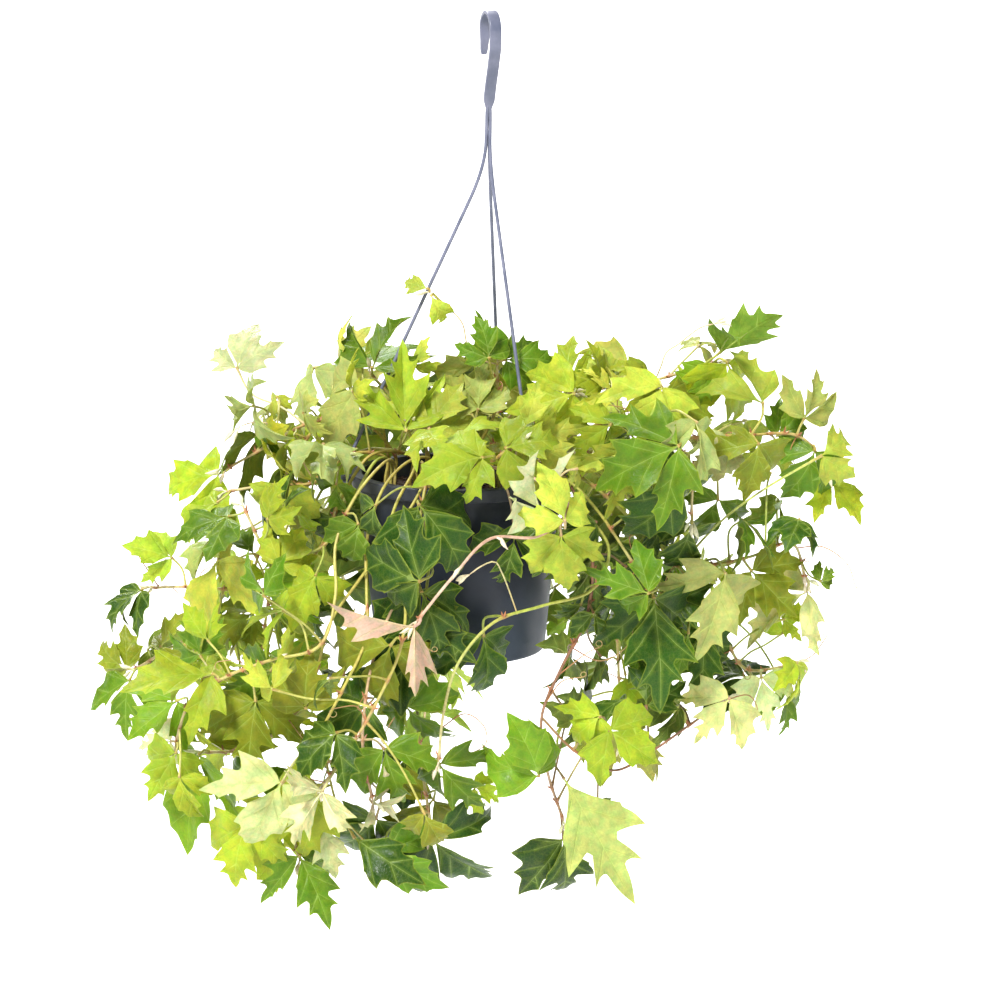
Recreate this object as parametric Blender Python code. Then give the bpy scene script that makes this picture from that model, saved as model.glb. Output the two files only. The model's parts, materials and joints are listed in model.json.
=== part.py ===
"""Grape ivy in a hanging pot, with its moulded three-strand hanger.

Metres, +Z up, +X to the right and -Y towards the front. The origin is the seat of the hook, the
place under the top of its arch where it rests on whatever holds the plant up. The pot is turned,
the hanger is a flat hook with three stiff strands, and every leafy stem is one closed body that
stands in a plain hole in the soil.
"""
import math
import random

import bpy
import bmesh
from mathutils import Vector
from mathutils.bvhtree import BVHTree
from mathutils.geometry import delaunay_2d_cdt, intersect_point_line

CM = 0.01
GAP = 0.0003                    # left between pieces that touch

# ------------------------------------------------------------------ driving dimensions: the pot
POT_X = -0.0215                 # the pot's upright axis, measured from the hook's seat
RIM_TOP = -0.375
POT_HEIGHT = 0.150
RIM_RADIUS = 0.090
RIM_BAND = 0.011                # height of the band round the rim
NECK_RADIUS = 0.0835            # outside, just under the band
BASE_RADIUS = 0.071
WALL = 0.0024
RIM_EDGE = 0.0012               # slope on the rim's outer top edge
POT_SIDES = 32
SOIL_TOP = RIM_TOP - 0.013
SOIL_FALL = 0.004               # how far the soil's low dome falls to its edge
SOIL_SIDES = 18
HOLE_DEPTH = 0.018
HOLE_RADIUS = 0.0024
HOLE_SIDES = 4

# ------------------------------------------------------------------ driving dimensions: the hanger
HOOK_TURN = math.radians(74)    # the hook's own plane, turned from the X axis towards the back
HOOK_CENTRE = (0.0041, -0.0040, -0.0138)
HOOK_RADIUS = 0.0159            # centre line of the arch
ARCH_STEPS = 10
STRAP = 0.0028                  # thickness of the flat strap
STRAND_BEARINGS = {"hanger_strand_right": -51, "hanger_strand_back": 69, "hanger_strand_left": 189}
STRAND_RADIUS = 0.0015
STRAND_SIDES = 6
STRAND_TOP = -0.1015
STRAND_SPREAD = 0.0020          # how far each strand's top stands from their common axis
BEND_DROP = 0.020               # each strand's bend: from its top down to the corner it rounds off,
BEND_RUN = 0.032                # and from there along its slope
BEND_STEPS = 4
EAR_REACH = 0.0945              # the ear's hole, from the pot's axis
EAR_TOP = RIM_TOP - 0.0015
EAR_THICK = 0.003
EAR_SINK = 0.0035               # how deep the ear's root stands in the rim band
EAR_TIP = 0.0048                # from the hole's centre to the ear's outer edge
EAR_HALF = 0.0062               # half the ear's width at its root
EAR_HOLE = STRAND_RADIUS + 0.0007
BUTTON_RADIUS = 0.0034
BUTTON_THICK = 0.0024

# ------------------------------------------------------------------ driving dimensions: the plant
EYE = Vector((0.012, -2.552, 0.096))    # where the growth plan below is looked at from
BOW = 0.0075                    # how the plan's card bows back, cm for each cm squared
STEM_RADIUS = 0.0017
STEM_SIDES = 4
STEM_STEP = 0.042               # length of one straight run of a stem
STEM_CLEAR = 0.0048             # least distance between two stems' centre lines
POT_CLEAR = 0.0045              # least distance from a stem's centre line to the pot
BLADE = 0.0008                  # thickness of a leaf
LEAF_CLEAR = 0.0009             # least gap round a leaf
LARGE_LEAF = 0.083              # from this leaflet length on, a leaf has all its lobes


def growth(across, drop, depth):
    """A place of the plan: centimetres right of and below the hook's seat, as it looks from EYE
    against an upright card through the seat, moved along that line of sight to its own depth,
    which is counted from a card that bows back on both sides of the pot."""
    card = Vector((across * CM, 0, -drop * CM))
    bowed = depth + BOW * (across - POT_X / CM) ** 2
    return EYE + (card - EYE) * ((bowed * CM - EYE.y) / -EYE.y)


def around_pot(bearing, reach, height):
    """A point at a bearing (degrees from +X, turning to the back) and reach from the pot's axis."""
    turn = math.radians(bearing)
    return Vector((POT_X + reach * math.cos(turn), reach * math.sin(turn), height))


# ------------------------------------------------------------------ the growth plan
# One entry for each leafy stem: the bearing and reach (cm) of its hole in the soil, the places
# that the stem passes (across, drop, depth), side shoots, and its leaves (across, drop and depth
# of the point where the leaflets meet, the way the middle leaflet points: 0 right, 90 up, and
# that leaflet's length in millimetres, then what differs from a plain leaf).
PLAN = {
    "vine_01": dict(hole=(168, 5.6), stem=[(-9.5, 33.6, 0), (-14.3, 33.4, -1), (-18.2, 35.5, -2),
                                           (-21.6, 37.4, -3)],
                    leaves=[(-22.2, 37.8, -4.5, 178, 72, dict(twist=-12)),
                            (-20.6, 28.9, -1, 84, 56, dict(pitch=-10)),
                            (-14.2, 28.8, 0, 238, 63, dict(pitch=28))]),
    "vine_02": dict(hole=(183, 6.2), stem=[(-11.0, 35.9, -2.5), (-14.2, 38.5, -5), (-17.8, 38.7, -6),
                                           (-21.6, 39.3, -6.5)],
                    leaves=[(-22.3, 40.2, -7.5, 206, 60), (-17.0, 38.9, -8, -92, 54)]),
    "vine_03": dict(hole=(204, 6.2), stem=[(-9.6, 37.2, -7.5), (-13.2, 43.6, -10), (-17.4, 44.8, -11),
                                           (-19.0, 42.4, -11), (-20.2, 40.6, -10.5)],
                    leaves=[(-21.4, 41.4, -11, 176, 56), (-14.2, 46.4, -12.5, 236, 56)]),
    "vine_04": dict(hole=(193, 4.2), stem=[(-10.4, 37.0, -5), (-14.2, 44.6, -6.5), (-18.0, 47.6, -7),
                                           (-23.5, 47.4, -6), (-28.0, 47.5, -4.5)],
                    leaves=[(-28.8, 47.6, -4.5, 200, 60, dict(spread=46, twist=14)),
                            (-22.4, 45.0, -8, 246, 81),
                            (-17.3, 47.0, -9, -60, 58)]),
    "vine_05": dict(hole=(214, 6.4), stem=[(-8.8, 37.2, -8.8), (-12.3, 42.6, -12.8), (-13.0, 51.4, -16.8),
                                           (-17.2, 53.4, -17.4), (-21.0, 54.7, -17.2),
                                           (-23.9, 56.6, -16.6), (-25.9, 58.6, -16), (-26.3, 61.2, -15.6)],
                    leaves=[(-23.0, 54.9, -14.6, 176, 74), (-26.0, 57.2, -14, 210, 60),
                            (-18.0, 54.6, -14.6, 206, 54), (-19.4, 57.2, -14.6, 262, 69),
                            (-26.2, 61.8, -15, 236, 49)]),
    "vine_06": dict(hole=(180, 3.8), stem=[(-11.2, 36.2, 0.5), (-15.5, 42.5, 1.5), (-19.5, 48.8, 1),
                                           (-25.0, 51.8, 0), (-29.6, 54.6, -1)],
                    leaves=[(-30.2, 54.6, -1.5, 146, 52), (-30.0, 55.4, -2.5, 250, 65),
                            (-25.4, 51.4, 1.5, 262, 63),
                            (-19.5, 49.6, -1, 205, 56)]),
    "vine_07": dict(hole=(222, 4.2), stem=[(-5.2, 38.7, -10.8), (-8.0, 43.4, -13.2), (-13.0, 50.4, -13.6),
                                           (-15.4, 57.6, -13.6), (-21.0, 62.0, -13), (-23.8, 61.8, -13)],
                    leaves=[(-24.3, 61.9, -14, 252, 88, dict(twist=8)), (-20.6, 61.6, -15.5, 84, 65),
                            (-19.8, 63.4, -14.5, 250, 72),
                            (-15.2, 58.0, -16, 96, 56)]),
    "vine_08": dict(hole=(240, 6.4), stem=[(-6.4, 38.4, -10.4), (-8.4, 43.6, -15.4), (-6.6, 50.2, -17.4),
                                           (-9.6, 58.2, -18.2), (-13.6, 64.4, -19)],
                    leaves=[(-13.9, 65.2, -18.8, 232, 69, dict(under=True, fold=0.75)),
                            (-14.6, 65.3, -17.5, 207, 88), (-8.0, 52.4, -15.4, 246, 83),
                            (-12.6, 60.0, -16, 214, 58)]),
    "vine_09": dict(hole=(228, 2.4), stem=[(-4.4, 38.9, -10.6), (-5.8, 44.8, -12.8), (-9.2, 52.6, -14.6),
                                           (-10.4, 59.6, -16), (-10.1, 63.6, -16), (-9.6, 66.0, -16)],
                    leaves=[(-9.6, 66.3, -16.4, -4, 56, dict(under=True, fold=0.9)),
                            (-9.9, 57.6, -13, 200, 67),
                            (-8.6, 61.4, -13, -74, 67), (-9.3, 67.6, -13, 236, 69)]),
    "vine_10": dict(hole=(252, 4.6), stem=[(-3.9, 39.4, -10.4), (-5.0, 48.0, -11), (-5.8, 57.0, -12),
                                           (-5.4, 63.0, -12.5), (-4.6, 68.6, -13)],
                    leaves=[(-4.6, 69.4, -13.5, -52, 94, dict(twist=24)), (-4.4, 65.9, -13.5, 226, 69),
                            (-8.6, 70.4, -12.5, -40, 65), (-6.8, 57.8, -14, -60, 69)]),
    "vine_11": dict(hole=(236, 4.4), stem=[(-7.9, 37.9, -9.6), (-10.2, 44.6, -12.4), (-10.0, 51.6, -15.2),
                                           (-13.4, 58.8, -16.4), (-16.6, 66.0, -15.5), (-15.9, 71.2, -15)],
                    leaves=[(-18.4, 67.2, -14.5, 264, 76), (-15.9, 70.8, -15.2, -62, 69),
                            (-11.8, 70.6, -13, 252, 60), (-17.3, 64.4, -18, 246, 78),
                            (-20.4, 68.0, -12, 252, 67)]),
    "vine_12": dict(hole=(262, 6.6), stem=[(-4.6, 39.0, -11.2), (-5.6, 43.2, -12.6), (-5.9, 48.0, -13)],
                    leaves=[(-5.6, 40.4, -13, -36, 87, dict(twist=8)),
                            (-5.5, 47.0, -14, 164, 78, dict(twist=-10)), (-5.4, 47.8, -14.5, -58, 83),
                            (-6.4, 49.8, -13.2, 258, 85, dict(twist=16))]),
    "vine_13": dict(hole=(301, 6.4), stem=[(4.6, 38.4, -9.6), (9.4, 42.4, -12), (10.4, 46.6, -13),
                                           (6.2, 48.6, -13.6), (1.8, 49.9, -15), (-0.6, 51.6, -16),
                                           (-2.9, 55.2, -16.4), (-3.7, 59.4, -16), (-4.0, 62.6, -15.6)],
                    leaves=[(-0.2, 51.6, -13.8, -76, 72), (-4.0, 62.8, -15, -56, 74),
                            (-3.4, 54.8, -13.6, 240, 63)]),
    "vine_14": dict(hole=(284, 4.6), stem=[(2.4, 37.6, -10.6), (6.4, 39.4, -13.6), (6.6, 42.4, -15),
                                           (3.2, 43.2, -16.2), (0.8, 43.0, -17), (-2.6, 46.4, -18.6),
                                           (-5.8, 50.4, -19.4)],
                    leaves=[(-6.0, 50.9, -19.7, 181, 82, dict(under=True, pair=True, spread=92, fold=1.0,
                                                               bend=0.35, pitch=0)),
                            (6.6, 41.8, -16.4, 98, 54, dict(spread=78)),
                            (6.3, 43.0, -16, -86, 56),
                            (4.6, 41.0, -15, 124, 69, dict(under=True, fold=0.9))]),
    "vine_15": dict(hole=(318, 6.2), stem=[(6.0, 37.4, -7.6), (8.6, 42.6, -9.6), (8.8, 48.6, -9.6),
                                           (7.2, 52.8, -9.8), (4.9, 57.5, -10.2), (4.9, 61.4, -10.4),
                                           (5.5, 64.6, -10.6), (6.6, 67.8, -11)],
                    shoots=[[(4.9, 57.5, -10.2), (8.2, 62.2, -10.6), (11.3, 63.3, -10.6),
                             (15.5, 60.6, -9.6), (20.2, 57.2, -8.6)]],
                    leaves=[(6.6, 64.0, -13.6, -60, 130, dict(pair=True, twist=6, pitch=0, bend=0.25,
                                                               fold=0.25, spread=40)),
                            (4.5, 63.9, -12, 98, 69), (6.6, 69.3, -10.8, 280, 84, dict(pair=True, twist=0, pitch=0, bend=0.3,
                                                             spread=44)),
                            (10.4, 59.8, -12.4, -30, 60), (20.6, 57.0, -9.4, 224, 63)]),
    "vine_16": dict(hole=(342, 4.8), stem=[(6.0, 35.2, -4.4), (11.0, 33.2, -8.4), (15.4, 34.4, -11),
                                           (17.0, 37.4, -12.2), (17.2, 41.6, -12.6)],
                    leaves=[(16.1, 35.4, -13.0, 194, 87, dict(twist=10, spread=58)),
                            (16.8, 37.8, -16.0, 240, 98, dict(twist=-8, pitch=6, fold=0.2)),
                            (17.5, 33.4, -13.6, -58, 69, dict(fold=0.85)),
                            (17.2, 42.4, -12.8, -102, 63)]),
    "vine_17": dict(hole=(350, 2.6), stem=[(4.6, 33.0, -2.6), (10.5, 30.4, -5.4), (14.4, 30.6, -7.6)],
                    leaves=[(14.6, 30.4, -8.8, 244, 63, dict(spread=70)), (14.9, 30.7, -8.2, -40, 72),
                            (14.0, 29.8, -7, 102, 56)]),
    "vine_18": dict(hole=(4, 5.2), stem=[(6.2, 33.4, 0.6), (12.5, 30.0, -1), (17.0, 29.6, -2.6),
                                         (19.2, 28.4, -3.4)],
                    leaves=[(19.4, 27.6, -4, 48, 80, dict(under=True, pair=True, twist=0, pitch=4,
                                                            fold=0.5, bend=0.4, spread=52)),
                            (20.0, 28.4, -4.8, -64, 83, dict(twist=0, pitch=8, fold=0.3)),
                            (18.6, 28.8, -5.4, 262, 54)]),
    "vine_19": dict(hole=(352, 6.8), stem=[(8.4, 36.0, -2.6), (14.0, 34.6, -5.4), (19.4, 34.8, -7.4),
                                           (24.5, 34.3, -7.8), (27.4, 35.4, -7.6), (28.6, 37.6, -7.6)],
                    leaves=[(22.7, 35.2, -9.4, 268, 58, dict(spread=74)), (27.4, 35.8, -8.6, 250, 63),
                            (28.6, 38.2, -8, -38, 52),
                            (20.4, 35.8, -9, 234, 54)]),
    "vine_20": dict(hole=(331, 6.4), stem=[(8.6, 38.4, -6), (14.0, 43.4, -8), (19.4, 45.8, -9.2),
                                           (22.2, 44.8, -9.2), (26.4, 43.7, -8.6), (26.8, 46.8, -8.6)],
                    leaves=[(20.3, 45.5, -11, 196, 54), (20.1, 46.2, -11.6, 258, 85),
                            (22.2, 46.0, -10.4, -42, 63),
                            (26.9, 47.8, -9.4, 204, 78, dict(twist=40, fold=0.8)),
                            (21.4, 41.6, -9.6, -24, 60), (24.6, 40.2, -6.4, -84, 58)]),
    "vine_21": dict(hole=(312, 4.4), stem=[(7.0, 38.4, -9.2), (11.4, 44.0, -10.6), (13.9, 47.9, -11.2)],
                    leaves=[(14.1, 48.3, -12.4, 276, 97, dict(twist=12)), (13.7, 48.0, -13, 160, 60),
                            (14.7, 48.0, -11.4, -10, 69)]),
    "vine_22": dict(hole=(343, 6.9), stem=[(8.8, 37.4, -4), (13.4, 42.6, -5), (18.4, 48.6, -6),
                                           (22.0, 54.6, -6.6), (25.6, 54.2, -6.6)],
                    leaves=[(22.2, 55.3, -7.2, 146, 65), (23.2, 55.2, -7.8, -74, 58),
                            (26.2, 53.9, -7, -62, 54), (18.4, 51.0, -7.4, -92, 69)]),
    "vine_23": dict(hole=(300, 1.8), stem=[(0.4, 34.0, -2.4), (1.0, 30.4, -3), (1.0, 28.2, -3)],
                    leaves=[(1.6, 28.2, -3.4, 8, 54), (-0.6, 28.4, -4, 262, 54)]),
    "vine_24": dict(hole=(238, 3.0), stem=[(-4.6, 34.6, -3.2), (-6.0, 33.4, -5)],
                    leaves=[(-6.6, 34.2, -6.4, 96, 83, dict(fold=0.8, spread=52, pitch=4, twist=8)),
                            (-4.6, 33.8, -7, 62, 56)]),
    "vine_25": dict(hole=(150, 4.4), stem=[(-6.2, 33.4, 1.4), (-8.8, 30.8, 0.6), (-9.6, 29.2, 0)],
                    leaves=[(-9.4, 28.9, -0.6, 82, 69, dict(fold=0.8, twist=6)), (-10.4, 30.2, -2.6, 236, 65),
                            (-8.2, 31.0, -2.6, 118, 54)]),
    "vine_26": dict(hole=(24, 3.8), stem=[(2.4, 33.0, -1), (5.2, 31.2, -3.2), (7.2, 31.0, -4.6)],
                    leaves=[(7.4, 31.0, -6.4, 196, 69), (5.0, 31.6, -8, 262, 65),
                            (6.6, 30.2, -4, 24, 56), (8.2, 32.0, -7.6, -62, 63)]),
    "vine_27": dict(hole=(282, 6.8), stem=[(1.0, 36.4, -9.6), (3.2, 35.0, -11.4)],
                    leaves=[(1.6, 35.6, -12.2, 22, 67), (3.6, 35.0, -12.4, -28, 65),
                            (-0.2, 36.4, -12.4, 184, 63)]),
}

# The far side, in the same manner but set out round the pot by a rule: the bearings of its stems.
BACK_BEARINGS = [16, 42, 66, 92, 118, 143, 167]
BACK_HOLE_REACH = (0.062, 0.034)        # alternately
BACK_CREST = 0.044                      # how far the stems rise over the rim
BACK_REACH = (0.190, 0.235)
BACK_DROP = (0.130, 0.270)              # how far below the rim their tips hang, at alternate stems
BACK_SEED = 7


# ------------------------------------------------------------------ general mesh helpers
def clear_scene():
    for item in list(bpy.data.objects):
        bpy.data.objects.remove(item, do_unlink=True)


def material(name, colour, roughness, metallic=0.0):
    paint = bpy.data.materials.new(name)
    paint.use_nodes = True
    shader = paint.node_tree.nodes["Principled BSDF"]
    shader.inputs["Base Color"].default_value = (*colour, 1)
    shader.inputs["Roughness"].default_value = roughness
    shader.inputs["Metallic"].default_value = metallic
    return paint


def add_object(name, shape, paint):
    """A linked object made of a (points, faces) pair."""
    points, faces = shape
    mesh = bpy.data.meshes.new(name)
    mesh.from_pydata([tuple(point) for point in points], [], faces)
    mesh.materials.append(paint)
    piece = bpy.data.objects.new(name, mesh)
    bpy.context.scene.collection.objects.link(piece)
    return piece


def face_outwards(piece):
    work = bmesh.new()
    work.from_mesh(piece.data)
    bmesh.ops.recalc_face_normals(work, faces=work.faces)
    work.to_mesh(piece.data)
    work.free()


def is_closed(mesh):
    """Whether every edge of a mesh has exactly two faces."""
    work = bmesh.new()
    work.from_mesh(mesh)
    closed = all(len(edge.link_faces) == 2 for edge in work.edges)
    work.free()
    return closed


def apply_boolean(piece, tools, operation):
    """One Boolean with a collection of tools, applied, with the tools then removed. It is EXACT,
    or MANIFOLD where EXACT leaves an open edge."""
    group = bpy.data.collections.new(piece.name + "_tools")
    bpy.context.scene.collection.children.link(group)
    for tool in tools:
        bpy.context.scene.collection.objects.unlink(tool)
        group.objects.link(tool)
    step = piece.modifiers.new(operation.lower(), "BOOLEAN")
    step.operation = operation
    step.operand_type = "COLLECTION"
    step.collection = group
    for solver in ("EXACT", "MANIFOLD"):
        step.solver = solver
        seen = piece.evaluated_get(bpy.context.evaluated_depsgraph_get())
        result = bpy.data.meshes.new_from_object(seen)
        if is_closed(result):
            break
    piece.modifiers.clear()
    piece.data = result
    for tool in list(group.objects):
        bpy.data.objects.remove(tool, do_unlink=True)
    bpy.data.collections.remove(group)


def turned(profile, sides):
    """A closed solid of revolution round the pot's axis; the profile starts and ends on it."""
    points, rings = [], []
    for reach, height in profile:
        if reach == 0:
            rings.append([len(points)])
            points.append(Vector((POT_X, 0, height)))
            continue
        rings.append(list(range(len(points), len(points) + sides)))
        points += [around_pot(360 * k / sides, reach, height) for k in range(sides)]
    faces = []
    for low, high in zip(rings, rings[1:]):
        for k in range(sides):
            after = (k + 1) % sides
            if len(low) == 1:
                faces.append((low[0], high[after], high[k]))
            elif len(high) == 1:
                faces.append((low[k], low[after], high[0]))
            else:
                faces.append((low[k], low[after], high[after], high[k]))
    return points, faces


def prism(centre, radius, bottom, top, sides):
    """An upright prism, as a solid or as a cutter."""
    points = []
    for height in (bottom, top):
        for k in range(sides):
            turn = 2 * math.pi * (k + 0.5) / sides
            points.append(Vector((centre.x + radius * math.cos(turn),
                                  centre.y + radius * math.sin(turn), height)))
    faces = [tuple(reversed(range(sides))), tuple(range(sides, 2 * sides))]
    faces += [(k, (k + 1) % sides, sides + (k + 1) % sides, sides + k) for k in range(sides)]
    return points, faces


def ring_frames(path, first_side):
    """For each point of a path its direction and two sides, carried along without twisting."""
    frames, side = [], first_side
    for k, point in enumerate(path):
        before, after = path[max(k - 1, 0)], path[min(k + 1, len(path) - 1)]
        ahead = (after - before).normalized()
        side = (side - ahead * side.dot(ahead)).normalized()
        frames.append((point, ahead, side, ahead.cross(side)))
    return frames


def tube(path, radii, sides):
    """A closed tube along a path, with a radius at each of its points."""
    start = Vector((1, 0, 0)) if abs((path[1] - path[0]).normalized().x) < 0.9 else Vector((0, 1, 0))
    points, faces = [], []
    for (centre, _, side, other), radius in zip(ring_frames(path, start), radii):
        for k in range(sides):
            turn = 2 * math.pi * (k + 0.5) / sides
            points.append(centre + (side * math.cos(turn) + other * math.sin(turn)) * radius)
    for ring in range(len(path) - 1):
        base = ring * sides
        for k in range(sides):
            after = (k + 1) % sides
            faces.append((base + k, base + after, base + sides + after, base + sides + k))
    faces.append(tuple(reversed(range(sides))))
    faces.append(tuple(range(len(points) - sides, len(points))))
    return points, faces


def smooth_route(places, step):
    """Points about a step apart on a smooth curve through the given places."""
    padded = [places[0] * 2 - places[1], *places, places[-1] * 2 - places[-2]]
    fine = []
    for a, b, c, d in zip(padded, padded[1:], padded[2:], padded[3:]):
        for k in range(16):
            t = k / 16
            fine.append(0.5 * (2 * b + (c - a) * t + (2 * a - 5 * b + 4 * c - d) * t * t
                               + (3 * b - a - 3 * c + d) * t ** 3))
    fine.append(places[-1].copy())
    lengths = [0.0]
    for a, b in zip(fine, fine[1:]):
        lengths.append(lengths[-1] + (b - a).length)
    count = max(2, round(lengths[-1] / step))
    route, at = [], 0
    for k in range(count + 1):
        want = lengths[-1] * k / count
        while at < len(fine) - 2 and lengths[at + 1] < want:
            at += 1
        share = (want - lengths[at]) / max(lengths[at + 1] - lengths[at], 1e-9)
        route.append(fine[at].lerp(fine[at + 1], min(share, 1)))
    return route


# ------------------------------------------------------------------ the pot and its soil
def pot_radius(height):
    """The pot's outside radius under its rim band."""
    share = (height - (RIM_TOP - POT_HEIGHT)) / (POT_HEIGHT - RIM_BAND)
    return BASE_RADIUS + (NECK_RADIUS - BASE_RADIUS) * share


def pot_inside(height):
    """The pot's inside radius, from its floor up to its rim."""
    share = (height - (RIM_TOP - POT_HEIGHT + WALL)) / (POT_HEIGHT - WALL)
    return BASE_RADIUS - WALL + (NECK_RADIUS - BASE_RADIUS) * share


def pot_outside():
    """The pot's outer outline, closed level with its soil."""
    base, band = RIM_TOP - POT_HEIGHT, RIM_TOP - RIM_BAND
    return [(0, base), (BASE_RADIUS, base), (NECK_RADIUS, band), (RIM_RADIUS, band),
            (RIM_RADIUS, RIM_TOP), (NECK_RADIUS - WALL, RIM_TOP), (NECK_RADIUS - WALL, SOIL_TOP),
            (0, SOIL_TOP)]


def make_pot():
    base, band = RIM_TOP - POT_HEIGHT, RIM_TOP - RIM_BAND
    floor = base + WALL
    profile = [(0, base), (BASE_RADIUS, base), (NECK_RADIUS, band), (RIM_RADIUS, band),
               (RIM_RADIUS, RIM_TOP - RIM_EDGE), (RIM_RADIUS - RIM_EDGE, RIM_TOP),
               (pot_inside(RIM_TOP), RIM_TOP), (pot_inside(floor), floor), (0, floor)]
    plastic = material("pot_plastic", (0.012, 0.013, 0.015), 0.42)
    pot = add_object("pot", turned(profile, POT_SIDES), plastic)
    ears, holes = [], []
    for name, bearing in STRAND_BEARINGS.items():
        turn = math.radians(bearing)
        across = Vector((-math.sin(turn), math.cos(turn), 0)) * EAR_HALF
        root = around_pot(bearing, RIM_RADIUS - EAR_SINK, 0)
        outer = around_pot(bearing, EAR_REACH + EAR_TIP, 0)
        corners = [root - across, outer - across * 0.6, outer + across * 0.6, root + across]
        points = [corner + Vector((0, 0, EAR_TOP - EAR_THICK)) for corner in corners]
        points += [corner + Vector((0, 0, EAR_TOP)) for corner in corners]
        faces = [(3, 2, 1, 0), (4, 5, 6, 7), (0, 1, 5, 4), (1, 2, 6, 5), (2, 3, 7, 6), (3, 0, 4, 7)]
        ears.append(add_object(name + "_ear", (points, faces), plastic))
        cut = prism(around_pot(bearing, EAR_REACH, 0), EAR_HOLE, EAR_TOP - 2 * EAR_THICK,
                    EAR_TOP + EAR_THICK, HOLE_SIDES)
        holes.append(add_object(name + "_hole", cut, plastic))
    for piece in [pot, *ears]:
        face_outwards(piece)
    apply_boolean(pot, ears, "UNION")
    apply_boolean(pot, holes, "DIFFERENCE")
    pot.data.shade_smooth()
    pot.data.set_sharp_from_angle(angle=math.radians(35))
    return pot


def make_soil(holes):
    """The soil fills the pot to a low dome; each stem has a plain round hole."""
    flat = math.cos(math.pi / POT_SIDES)
    floor, edge = RIM_TOP - POT_HEIGHT + WALL + GAP, SOIL_TOP - SOIL_FALL
    low = pot_inside(floor) * flat - GAP
    high = pot_inside(edge) * flat - GAP
    profile = [(0, floor), (low, floor), (high, edge), (high * 0.72, SOIL_TOP - SOIL_FALL * 0.2),
               (0, SOIL_TOP)]
    soil = add_object("soil", turned(profile, SOIL_SIDES), material("soil", (0.045, 0.024, 0.015), 0.95))
    face_outwards(soil)
    cutters = [add_object("hole", prism(place, HOLE_RADIUS, SOIL_TOP - HOLE_DEPTH, SOIL_TOP + 0.01,
                                        HOLE_SIDES), soil.data.materials[0]) for place in holes]
    apply_boolean(soil, cutters, "DIFFERENCE")
    return soil


# ------------------------------------------------------------------ the hanger
def hook_place(along, height):
    """A point of the hook's own plane: along it from the arch's centre, and its height."""
    x, y, _ = HOOK_CENTRE
    return Vector((x - along * math.cos(HOOK_TURN), y + along * math.sin(HOOK_TURN), height))


def hook_route():
    """The centre line of the flat strap from the waist up, over the arch and down to the tip."""
    x, y, middle = HOOK_CENTRE
    shank = [(0.0055, STRAND_TOP + GAP), (0.0056, -0.090), (0.0050, -0.077), (0.0005, -0.061),
             (-0.0085, -0.042), (-0.0148, -0.027)]
    route = smooth_route([hook_place(*place) for place in shank], 0.009)
    for k in range(ARCH_STEPS + 1):
        turn = math.pi * (1 - k / ARCH_STEPS)
        route.append(hook_place(HOOK_RADIUS * math.cos(turn), middle + HOOK_RADIUS * math.sin(turn)))
    route += [hook_place(HOOK_RADIUS + 0.0005, middle - 0.006), hook_place(0.0180, -0.0265),
              hook_place(0.0192, -0.0325)]
    return route


def strap_width(height, on_tip):
    """The strap's full width: a thin waist, a wide shank and arch, and a narrower tip."""
    if on_tip:
        return 0.0094 - 0.0030 * min(1, max(0, (-0.008 - height) / 0.02))
    waist, shoulder = -0.086, -0.070
    share = min(1, max(0, (height - waist) / (shoulder - waist)))
    return 0.0040 + 0.0056 * share


def make_hook():
    flat = Vector((math.sin(HOOK_TURN), math.cos(HOOK_TURN), 0))
    route = hook_route()
    points, faces = [], []
    crest = max(range(len(route)), key=lambda k: route[k].z)
    for k, (centre, ahead, side, other) in enumerate(ring_frames(route, flat)):
        half = strap_width(centre.z, k > crest) / 2
        if k == len(route) - 1:
            half *= 0.72
        thick = STRAP / 2
        points += [centre + side * a * half + other * b * thick
                   for a, b in ((1, -1), (1, 1), (-1, 1), (-1, -1))]
    for ring in range(0, len(points) - 4, 4):
        for k in range(4):
            after = (k + 1) % 4
            faces.append((ring + k, ring + after, ring + 4 + after, ring + 4 + k))
    faces += [(3, 2, 1, 0), tuple(range(len(points) - 4, len(points)))]
    hook = add_object("hanger_hook", (points, faces), material("hanger_plastic", (0.19, 0.20, 0.23), 0.38))
    face_outwards(hook)
    hook.data.shade_smooth()
    hook.data.set_sharp_from_angle(angle=math.radians(40))
    return hook


def strand_route(bearing, steps=BEND_STEPS):
    """From beside the waist in a bend out to above the ear, then straight down through it."""
    turn = math.radians(bearing)
    start = hook_place(0.0055, STRAND_TOP) + Vector((math.cos(turn), math.sin(turn), 0)) * STRAND_SPREAD
    corner = start + Vector((0, 0, -BEND_DROP))
    ear = around_pot(bearing, EAR_REACH, EAR_TOP)
    above = ear + Vector((0, 0, 0.010))
    slope = (above - corner).normalized()
    end = corner + slope * BEND_RUN
    route = [start.lerp(corner, k / steps).lerp(corner.lerp(end, k / steps), k / steps)
             for k in range(steps + 1)]
    under = EAR_TOP - EAR_THICK - GAP - 0.0001
    return route + [above - slope * 0.006, above, Vector((ear.x, ear.y, under))]


def make_strands(paint):
    strands = []
    for name, bearing in STRAND_BEARINGS.items():
        route = strand_route(bearing)
        radii = [STRAND_RADIUS] * len(route)
        under = route[-1]
        route += [under + Vector((0, 0, -0.00005)), under + Vector((0, 0, -BUTTON_THICK))]
        radii += [BUTTON_RADIUS, BUTTON_RADIUS]
        strand = add_object(name, tube(route, radii, STRAND_SIDES), paint)
        face_outwards(strand)
        strands.append(strand)
    return strands


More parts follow.
